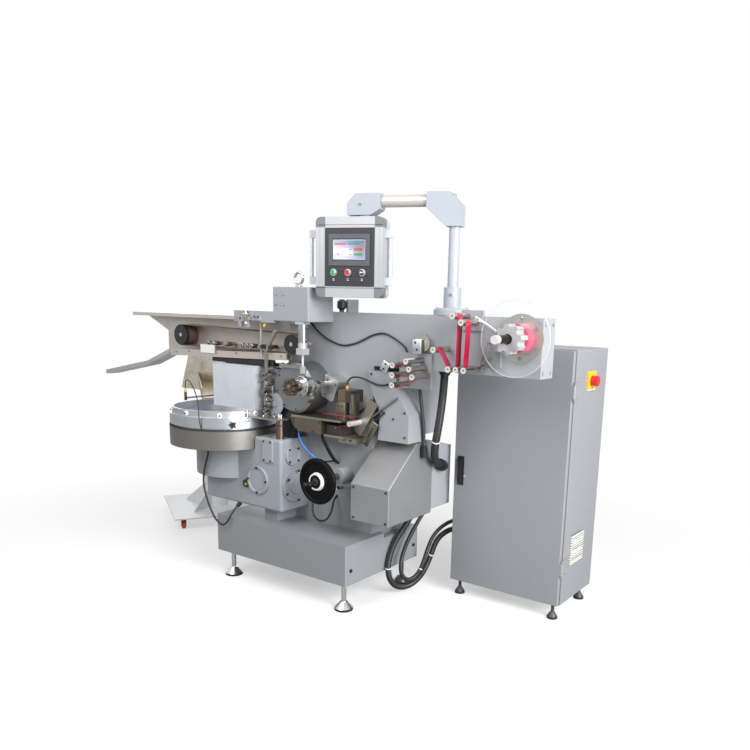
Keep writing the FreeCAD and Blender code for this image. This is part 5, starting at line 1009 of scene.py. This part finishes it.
settle(softened(arcBand("bowl_clamp_band", band), 1.2, 2), finishes["white"], "frame")
saucer = softened(newCylinder("saucer", 27, 5, 40, bowlSpot(-31, 292, 862)), 1, 2)
saucerStem = newCylinder("saucerStem", 7, 8, 20, bowlSpot(-31, 276, 856))
settle(joined("guide_saucer", [saucer, saucerStem]), finishes["bright"], "frame")
post = softened(newCylinder("post", 7, 56, 24, bowlSpot(-18, 276, 858)), 1, 2)
cap = softened(newCylinder("cap", 10, 7, 24, bowlSpot(-18, 276, 908)), 1.5, 2)
collar = softened(newCylinder("collar", 11, 9, 24, bowlSpot(-18, 276, 862)), 1.5, 2)
hook = softened(newCylinder("hook", 3, 26, 12, bowlSpot(-18, 276, 904), (-0.5, -0.86, 0.05)), 0.8, 1)
settle(joined("hooked_post", [post, cap, collar, hook]), finishes["chrome"], "frame")

sidePlate = softened(newBlock("guard_side_plate", (-108, 130, 914), (-70, 134, 1010)), 0.8, 2)
settle(sidePlate, finishes["ground"], "frame")

# Two white pins at the deck's end
pins = [softened(newCylinder("pin", 3.4, 20, 16, (x, 64, 887)), 0.8, 2) for x in (404, 420)]
pins.append(softened(newBlock("pinBar", (404, 61, 894), (420, 67, 900)), 1, 2))
settle(joined("deck_pins", pins), finishes["whitePlastic"], "frame")
print("bowl and deck dressed")


# Sight glass: an amber oil level behind a domed window
window = newCylinder("oil_window", 12.6, 3.2, 40, (190, 36.2, 530), towardsFront)
softened(window, 1.4, 3)


def windowZones(bench):
    x, y, z = bench.axes()
    return [{"mask": z.below(531), "colour": srgb(168, 156, 62), "rough": 0.08}]


settle(window, makeFinish("oilWindow", srgb(52, 50, 40), 0.1, 20, 600, rough=0.08, coat=0.8,
                          zones=windowZones), "frame")


# Two-hole clamp plate in front of the boss, strut of the film arm, and a thin steel edge rod
clampPlate = softened(newBlock("boss_clamp", (1106, 192, 1240), (1152, 206, 1304), 0), 3, 3)
# Two thin black discs on the plate's face stand for its holes: painted shade in the holes
holeShades = [softened(newCylinder("hole", 5.5, 1, 20, (across, 191.4, up), (0, 1, 0)), 0.2, 1)
         for across, up in ((1122, 1288), (1132, 1258))]
neck = softened(newCylinder("neck", 14, 14, 24, (1122, 206, 1276), (0, 1, 0)), 1, 2)
settle(joined("boss_clamp", [clampPlate, neck]), finishes["bright"], "frame")
settle(joined("boss_clamp_hole_shades", holeShades), finishes["blackPlastic"], "frame")

strutEnds = {"high": (1412, 1402), "low": (1506, 1352), "width": 15, "front": 224, "back": 233}


def flatLink(name, ends, holeRadius=0):
    start = Vector((ends["high"][0], 0, ends["high"][1]))
    end = Vector((ends["low"][0], 0, ends["low"][1]))
    length = (end - start).length
    link = newBlock(name, (-ends["width"] / 2, ends["front"], 0), (ends["width"] / 2, ends["back"], length))
    softened(link, ends["width"] * 0.22, 3)
    turn = Vector((0, 0, 1)).rotation_difference((end - start).normalized()).to_matrix().to_4x4()
    link.data.transform(Matrix.Translation(start) @ turn)
    return link


strut = flatLink("film_arm_strut", strutEnds)
pivots = [softened(newCylinder("pivot", 7, 22, 24, (spot[0], 240, spot[1]), towardsFront), 1, 2)
          for spot in (strutEnds["high"], strutEnds["low"])]
settle(joined("film_arm_strut", [strut] + pivots), finishes["bright"], "frame")

thinRod = {"high": (1476, 1300), "low": (1446, 1206), "width": 5, "front": 210, "back": 215}
rod = flatLink("edge_rod", thinRod)
rodFeet = [newCylinder("rodFoot", 4, 32, 16, (spot[0], 240, spot[1]), towardsFront)
           for spot in (thinRod["high"], thinRod["low"])]
settle(joined("edge_rod", [rod] + rodFeet), finishes["steelUp"], "frame")


# Black rods and a slotted arm that set the film guide
guideRods = {"upper": {"high": (869, 997), "low": (775, 936), "width": 7, "front": 226, "back": 233},
             "lower": {"high": (944, 956), "low": (871, 889), "width": 7, "front": 205, "back": 212}}
armEnds = {"high": (905, 905), "low": (838, 792), "width": 40, "front": 194, "back": 202}
armSlotShade = {"high": (890, 880), "low": (862, 833), "width": 8, "front": 193, "back": 196}
for name, ends in guideRods.items():
    feet = [newCylinder("railFoot", 4, 240 - ends["front"], 16, (*spot[:1], 240, spot[1]), towardsFront)
            for spot in (ends["high"], ends["low"])]
    settle(joined("guide_rod_" + name, [flatLink("guideRod", ends)] + feet), finishes["rubber"], "frame")
arm = flatLink("adjusting_arm", armEnds)
armScrews = [softened(newCylinder("armScrew", 6, 5, 6, (x, 194, z), towardsFront), 1, 2)
             for x, z in ((900, 896), (846, 806))]
settle(joined("adjusting_arm", [arm] + armScrews), finishes["ground"], "frame")
# A thin black strip on the arm's face stands for its slot: painted shade in the slot
settle(flatLink("arm_slot_shade", armSlotShade), finishes["rubber"], "frame")
tieRod = {"high": (1018, 1031), "low": (868, 923), "width": 9, "front": 205, "back": 214}
settle(flatLink("tie_rod", tieRod), finishes["steelLong"], "frame")
holePlate = softened(newBlock("plate", (-21, 206, -25), (21, 213, 25)), 3, 3)
holePlate.data.transform(Matrix.Translation((944, 0, 1170)) @ Matrix.Rotation(math.radians(28), 4, "Y"))
plateFoot = newCylinder("plateFoot", 6, 32, 18, (952, 240, 1172), towardsFront)
settle(joined("hole_plate", [holePlate, plateFoot]), finishes["bright"], "frame")
fasten("hole_plate_screws", "socket", [(938, 204, 1160), (950, 204, 1182)], towardsFront, 4.5, "screw", "frame",
       "black_plastic")
filmStrip = softened(newBlock("film_strip", (655, 101, 932), (842, 121, 934.5)), 0.4, 1)
settle(filmStrip, finishes["film"], "frame")
eye = softened(newCylinder("sensor_eye", 12, 6, 32, (1505, 190, 1237), towardsFront), 2.5, 3)
settle(eye, finishes["blackPlastic"], "frame")

# Film round the rollers and the short runs between the inner ones
filmBand = {"front": 122, "back": 162, "radius": 13.7}
bandSpots = [(1367, 1409), (1409, 1384), (1277, 1267)]
runs = []
for step in range(3):
    left = (1065, 1189 - 44 * step)
    right = (1138 + 17 * step, 1210 - 33 * step)
    runs.append(flatLink("filmRun", {"high": (right[0] - 3, right[1] - 13.2), "low": (left[0] + 3, left[1] - 13.2),
                                     "width": 1.4, "front": filmBand["front"], "back": filmBand["back"]}))
bands = [softened(newCylinder("filmBand", filmBand["radius"], filmBand["back"] - filmBand["front"], 32,
                              (x, filmBand["front"], z), (0, 1, 0)), 0.3, 1) for x, z in bandSpots]
settle(joined("film_bands", bands + runs), finishes["film"], "frame")
print("film path dressed")


# Push-in fittings on the cylinder and the motor box, and a small valve on the clamp box
def pushFitting(name, seat, facing, finish, scale=1.0):
    nut = softened(newCylinder("nut", 8 * scale, 7 * scale, 6, seat, facing), 0.8, 2)
    outward = Vector(facing).normalized()
    sleeve = softened(newCylinder("sleeve", 6.4 * scale, 9 * scale, 24,
                                  Vector(seat) + outward * 7 * scale, facing), 1, 2)
    lip = softened(newCylinder("lip", 4.4 * scale, 4 * scale, 24,
                               Vector(seat) + outward * 15.5 * scale, facing), 0.8, 2)
    return settle(joined(name, [nut, sleeve, lip]), finishes[finish], "frame")


pushFitting("upper_air_fitting", (562, 88, 1336), (1, -0.2, 0), "brass", 0.7)
pushFitting("lower_air_fitting", (562, 88, 1276), (1, -0.2, 0), "brass", 0.7)
pushFitting("clamp_box_valve", (724, 131, 868), towardsFront, "brass", 0.8)
pushFitting("motor_box_fitting", (628, 166, 1102), (0.2, -0.4, 0.9), "chrome", 0.9)
pushFitting("cable_connector", (727, 200, 1049), upwards, "yellow", 0.9)


# A coil spring under the pusher's clamp, turned up by the screw modifier
spring = {"radius": 7.5, "wire": 1.3, "turns": 6, "pitch": 4.2, "middle": (197, 49), "bottom": 1352}
clearPick()
bpy.ops.mesh.primitive_circle_add(vertices=10, radius=spring["wire"], rotation=(math.radians(90), 0, 0))
coil = bpy.context.object
coil.name = "clamp_spring"
bpy.ops.object.transform_apply(location=False, rotation=True, scale=True)
coil.data.transform(Matrix.Translation((spring["radius"], 0, 0)))
winding = coil.modifiers.new("winding", "SCREW")
winding.angle = 2 * math.pi * spring["turns"]
winding.screw_offset = spring["pitch"] * spring["turns"]
winding.steps = 16 * spring["turns"]
winding.render_steps = winding.steps
winding.use_merge_vertices = False
pickOnly(coil)
bpy.ops.object.modifier_apply(modifier="winding")
bpy.ops.object.mode_set(mode="EDIT")
bpy.ops.mesh.select_all(action="SELECT")
bpy.ops.mesh.normals_make_consistent(inside=False)
bpy.ops.object.mode_set(mode="OBJECT")
coil.data.transform(Matrix.Translation((*spring["middle"], spring["bottom"])))
bpy.ops.object.shade_smooth()
settle(coil, finishes["brass"], "frame")
clampParts = [softened(newCylinder("stem", 5, 72, 20, (197, 49, 1340)), 1, 2),
              softened(newCylinder("head", 10, 12, 24, (197, 49, 1398)), 2, 2),
              softened(newBlock("jaw", (180, 42, 1380), (214, 65, 1392)), 2, 2),
              softened(newCylinder("foot", 9, 8, 24, (197, 49, 1338)), 1.5, 2)]
settle(joined("pusher_clamp", clampParts), finishes["chrome"], "frame")
print("fittings and spring made")


# Conveyor idlers: a bright bearing and a brown spacer on each
idlerAcross = (-158, -118, -26, 101, 135, 169, 233, 282)
bearings = [softened(newCylinder("bearing", 12.5, 10, 28, (x, 106, 1228), (0, 1, 0)), 1.5, 2)
            for x in idlerAcross]
bearings += [softened(newCylinder("stub", 4.5, 6, 16, (x, 101, 1228), (0, 1, 0)), 1, 2) for x in idlerAcross]
settle(joined("idler_bearings", bearings), finishes["chrome"], "frame")
spacers = [softened(newCylinder("spacer", 11, 26, 28, (x, 122, 1228), (0, 1, 0)), 1.5, 2)
           for x in idlerAcross]
settle(joined("idler_spacers", spacers), makeFinish("brownSpacer", srgb(104, 78, 62), 0.1, 20, 500, rough=0.4,
                                                    metal=0.4), "frame")
probeSleeve = pushFitting("probe_connector", (300, 72, 1330), (0.5, 0, 0.86), "yellow", 0.9)
print("conveyor dressed")


# Handwheel: the grip on its hub, and the second shaft behind it
crank = softened(newCylinder("crank", 6, 52, 24, (700, 12, 622), towardsFront), 1.5, 2)
grip = softened(newCylinder("grip", 9, 36, 28, (700, -34, 622), towardsFront), 4, 4)
hubCap = softened(newCylinder("hubCap", 15, 14, 32, (700, 12, 622), towardsFront), 3, 3)
settle(joined("handwheel_crank", [crank, grip, hubCap]), finishes["screw"], "handwheel")
lowShaft = softened(newCylinder("low_shaft", 12, 120, 32, (738, 240, 576), towardsFront), 2, 2)
settle(lowShaft, finishes["chrome"], "frame")

# Gland below the casting, where the drum's cable goes in
gland = [softened(newCylinder("nut", 13, 12, 6, (124, 44, 404), (0, 0.82, 0.57)), 1.5, 2),
         softened(newCylinder("cap", 10, 16, 24, (124, 31, 395), (0, 0.82, 0.57)), 2, 3)]
settle(joined("casting_gland", gland), finishes["blackPlastic"], "frame")


# Transfer mechanism between the guard and the wrapping head: plate, rods, levers and fingers
transfer = {"plate": ((262, 120, 888), (356, 127, 1136)), "rods": ((272, 100, 1112), (322, 104, 1040)),
            "collars": ((272, 100, 930), (272, 100, 1010), (272, 100, 1084), (322, 104, 918), (322, 104, 978))}
parts = [softened(newBlock("plate", *transfer["plate"]), 1.5, 2),
         softened(newCylinder("disc", 52, 9, 56, (346, 96, 952), (0, 1, 0)), 2, 2),
         softened(newCylinder("discHub", 14, 12, 28, (346, 97, 952), towardsFront), 2, 2),
         softened(newBlock("discFoot", (334, 105, 888), (362, 120, 960)), 1.5, 2)]
for x, y, top in transfer["rods"]:
    parts.append(softened(newCylinder("rod", 5, top - 888, 20, (x, y, 888)), 1, 2))
settle(joined("transfer_plate", parts), finishes["cast"], "frame")
collars = [softened(newCylinder("collar", 10, 12, 24, spot), 1.5, 2) for spot in transfer["collars"]]
collars += [softened(newCylinder("knob", 6, 10, 16, (x, y - 9, z + 6), towardsFront), 1, 2)
            for x, y, z in transfer["collars"]]
settle(joined("transfer_collars", collars), finishes["brass"], "frame")
levers = []
for high, low, front in (((330, 1098), (262, 1060), 84), ((318, 1060), (276, 1004), 78), ((262, 1002), (328, 962), 88),
                         ((330, 946), (284, 908), 76), ((350, 1128), (282, 1112), 86)):
    levers.append(flatLink("lever", {"high": high, "low": low, "width": 15, "front": front, "back": front + 7}))
    for x, z in (high, low):
        levers.append(softened(newCylinder("pivot", 5.5, 120 - front + 5, 18, (x, 120, z), towardsFront), 1, 2))
settle(joined("transfer_levers", levers), finishes["steelUp"], "frame")
fingers = []
for step in range(5):
    start = (338 - 4 * step, 62 + 6 * step, 934 + 26 * step)
    fingers.append(softened(newBlock("finger", (start[0] - 22, start[1], start[2]),
                                     (start[0] + 16, start[1] + 5, start[2] + 7), 18 - 8 * step, start), 1, 2))
    fingers.append(softened(newCylinder("fingerStem", 3.5, 120 - start[1], 14, (start[0] - 16, start[1], start[2] + 3),
                                        (0, 1, 0)), 0.8, 1))
settle(joined("transfer_fingers", fingers), finishes["screw"], "frame")
# Near-black blocks behind the transfer parts and on the casting's top: partly a dark casing, partly painted shade
# filling the gaps between the deck, the guard and the head
casing = [softened(newBlock("casing", (262, 128, 888), (356, 160, 1150)), 2, 2),
          softened(newBlock("lowShadeFill", (330, 132, 783), (436, 160, 960)), 2, 2)]
settle(joined("transfer_casing", casing), makeFinish("darkCasingPaintedShade", srgb(58, 56, 56), 0.2, 24, 500, rough=0.4,
                                                     metal=0.5), "frame")
railParts = softened(newBlock("under_rail", (-118, 98, 1137), (335, 112, 1163)), 1, 2)
settle(railParts, finishes["rubber"], "frame")
settle(softened(newBlock("back_plate", (-70, 143, 1090), (300, 149, 1163)), 1, 2), finishes["ground"],
       "frame")
print("transfer mechanism made")


# Service covers on the back of the column and of the beam, each with its screws
covers = [softened(newBlock("cover", (380, 509, 640), (780, 512.5, 1080)), 1.5, 2),
          softened(newBlock("cover", (560, 354, 1196), (1120, 357.5, 1380)), 1.5, 2)]
settle(joined("service_covers", covers), finishes["paint"], "frame")
fasten("service_screws", "dome", [(x, 514, z) for x in (396, 580, 764) for z in (656, 1064)]
       + [(x, 359, z) for x in (576, 840, 1104) for z in (1210, 1366)], (0, 1, 0), 6, "screw", "frame",
       "black_plastic")


# Gripper jaws: eight pairs of bright clamps round the wheel, each with its screw
jaws = []
for step in range(8):
    turn = Matrix.Translation((572, 0, 1062)) @ Matrix.Rotation(math.radians(45 * step + 10), 4, "Y")
    for side in (-1, 1):
        jaw = softened(newBlock("jaw", (side * 5 - 2.4, -45, 18), (side * 5 + 2.4, -8, 40)), 1, 2)
        jaw.data.transform(turn)
        jaws.append(jaw)
    tip = softened(newCylinder("tip", 4, 10, 14, (0, -30, 34), towardsFront), 1, 2)
    tip.data.transform(turn)
    jaws.append(tip)
jaws.append(softened(newCylinder("nave", 13, 12, 32, (572, -34, 1062), towardsFront), 2, 3))
settle(joined("gripper_jaws", jaws), finishes["ground"], "gripper_rotor")
fasten("flange_bores", "socket", [(632, 104, 1080)], towardsFront, 8.5, "screw", "frame",
       "black_plastic")

# Sensor bracket on the knife's top plate
bracket = [softened(newBlock("foot", (716, 132, 905), (768, 170, 993)), 2, 2),
           softened(newBlock("upright", (792, 150, 925), (799, 206, 1034)), 1.5, 2),
           softened(newBlock("shelf", (716, 150, 925), (792, 200, 933)), 1, 2)]
settle(joined("sensor_bracket", bracket), finishes["ground"], "frame")
fasten("bracket_screws", "socket", [(730, 132, 975), (754, 132, 975), (730, 132, 925), (754, 132, 925)],
       towardsFront, 4, "screw", "frame", "black_plastic")


# Sensor over the feeding bowl, on a rod from the guard's side plate, with its cable down to the drum
settle(softened(newCylinder("bowl_sensor_rod", 4.5, 233, 20, (-95, -101, 958), (0, 1, 0)), 1, 2),
       finishes["ground"], "frame")
sensorBody = [softened(newCylinder("body", 7, 44, 24, (-95, -100, 946)), 1.5, 2)]
settle(joined("bowl_sensor", sensorBody), finishes["blackPlastic"], "frame")
plug = settle(softened(newCylinder("bowl_sensor_plug", 6, 18, 24, (-95, -100, 988)), 1.5, 2), finishes["yellow"],
              "frame")
sensorCable = {"diameter": 5, "length": 0.40, "route": (
    (93, -158, 818), (94, -166, 840), (95, -174, 876), (92, -172, 920), (76, -164, 968),
    (40, -152, 1016), (-20, -130, 1050), (-66, -112, 1056), (-94, -101, 1040), (-95, -100, 1006))}
cableSpots = evenly(routePoints("bowl_sensor_cable", sensorCable["route"]), 0.004)
cable = sweptTube("bowl_sensor_cable", cableSpots, [sensorCable["diameter"] / 2000] * len(cableSpots), 14)
cable.data.materials.append(finishes["rubber"])
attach(cable, "frame")
cableRun = sum((end - start).length for start, end in zip(cableSpots, cableSpots[1:]))
print("sensor cable", round(cableRun, 3))
print("sensor and its cable made")

for shape in shapes.values():
    bpy.data.objects.remove(shape)


# Studio: pale floor that keeps the shadow, white background, soft lamps
studio = {"skyLevel": 0.33, "floorTone": 0.90, "clearFrom": 1.0, "clearTo": 3.0, "nearGlow": 0.45,
          "bounce": 0.25, "bounceTone": 0.35}
lamps = {
    "sideKey": {"place": (5200, -900, 2900), "aim": (700, 200, 900), "size": 2.6, "power": 330},
    "frontFill": {"place": (300, -2400, 3300), "aim": (500, 200, 1300), "size": 2.4, "power": 92},
    "sideFill": {"place": (3500, -500, 1100), "aim": (900, 200, 600), "size": 2.0, "power": 34},
    "backFill": {"place": (-3500, 3600, 3000), "aim": (300, 300, 900), "size": 3.0, "power": 60},
}


def setStudio():
    bpy.ops.object.select_all(action="DESELECT")
    bpy.ops.mesh.primitive_plane_add(size=80, location=(0.4, 0.2, -0.0005))
    floor = bpy.context.object
    floor.name = "studioFloor"
    bpy.ops.object.transform_apply(location=True, rotation=True, scale=True)
    bench = Bench("studioFloorPaint")
    x, y, z = bench.axes()
    offX = (x - 400) * 0.001
    offY = (y - 300) * 0.001
    away = bench.add("ShaderNodeMath", {"operation": "SQRT"}, {0: offX * offX + offY * offY})
    grain = bench.noise(2, 2)
    direct = bench.add("ShaderNodeLightPath", None, {})
    tone = bench.mix(grain, (studio["floorTone"],) * 3 + (1,), (studio["floorTone"] + 0.04,) * 3 + (1,))
    bench.plug(bench.shader.inputs["Base Color"], bench.mix(direct, (studio["bounceTone"],) * 3 + (1,), tone))
    bench.plug(bench.shader.inputs["Roughness"], 0.9)
    bench.plug(bench.shader.inputs["Specular IOR Level"], 0.0)
    glow = bench.add("ShaderNodeEmission", None, {"Color": (1, 1, 1, 1), "Strength": 1.0})
    share = bench.spread(away, studio["clearFrom"], studio["clearTo"])
    seen = direct * (1 - studio["bounce"]) + studio["bounce"]
    share = (share * (1 - studio["nearGlow"]) + studio["nearGlow"]) * seen
    joined = bench.tree.nodes.new("ShaderNodeMixShader")
    bench.plug(joined.inputs[0], share)
    bench.tree.links.new(bench.shader.outputs[0], joined.inputs[1])
    bench.tree.links.new(glow.link, joined.inputs[2])
    bench.tree.links.new(joined.outputs[0], bench.tree.nodes["Material Output"].inputs["Surface"])
    floor.data.materials.append(bench.material)

    world = bpy.data.worlds.new("studioSky")
    bpy.context.scene.world = world
    world.use_nodes = True
    tree = world.node_tree
    tree.nodes.clear()
    path = tree.nodes.new("ShaderNodeLightPath")
    direct = tree.nodes.new("ShaderNodeMath")
    direct.operation = "MAXIMUM"
    tree.links.new(path.outputs["Is Camera Ray"], direct.inputs[0])
    tree.links.new(path.outputs["Is Transmission Ray"], direct.inputs[1])
    mirrored = tree.nodes.new("ShaderNodeMath")
    mirrored.operation = "MAXIMUM"
    tree.links.new(direct.outputs[0], mirrored.inputs[0])
    tree.links.new(path.outputs["Is Glossy Ray"], mirrored.inputs[1])
    sky = tree.nodes.new("ShaderNodeBackground")
    sky.inputs["Color"].default_value = (0.97, 0.98, 1.0, 1)
    sky.inputs["Strength"].default_value = studio["skyLevel"]
    white = tree.nodes.new("ShaderNodeBackground")
    white.inputs["Color"].default_value = (1, 1, 1, 1)
    white.inputs["Strength"].default_value = 1.0
    blend = tree.nodes.new("ShaderNodeMixShader")
    out = tree.nodes.new("ShaderNodeOutputWorld")
    tree.links.new(mirrored.outputs[0], blend.inputs[0])
    tree.links.new(sky.outputs[0], blend.inputs[1])
    tree.links.new(white.outputs[0], blend.inputs[2])
    tree.links.new(blend.outputs[0], out.inputs["Surface"])

    for name, lamp in lamps.items():
        data = bpy.data.lights.new(name, "AREA")
        data.shape = "SQUARE"
        data.size = lamp["size"]
        data.energy = lamp["power"]
        light = bpy.data.objects.new(name, data)
        bpy.context.scene.collection.objects.link(light)
        facing = (at(*lamp["aim"]) - at(*lamp["place"])).to_track_quat("-Z", "Y")
        light.matrix_world = Matrix.Translation(at(*lamp["place"])) @ facing.to_matrix().to_4x4()
    bpy.context.scene.view_settings.view_transform = "Standard"


setStudio()
print("studio lit")
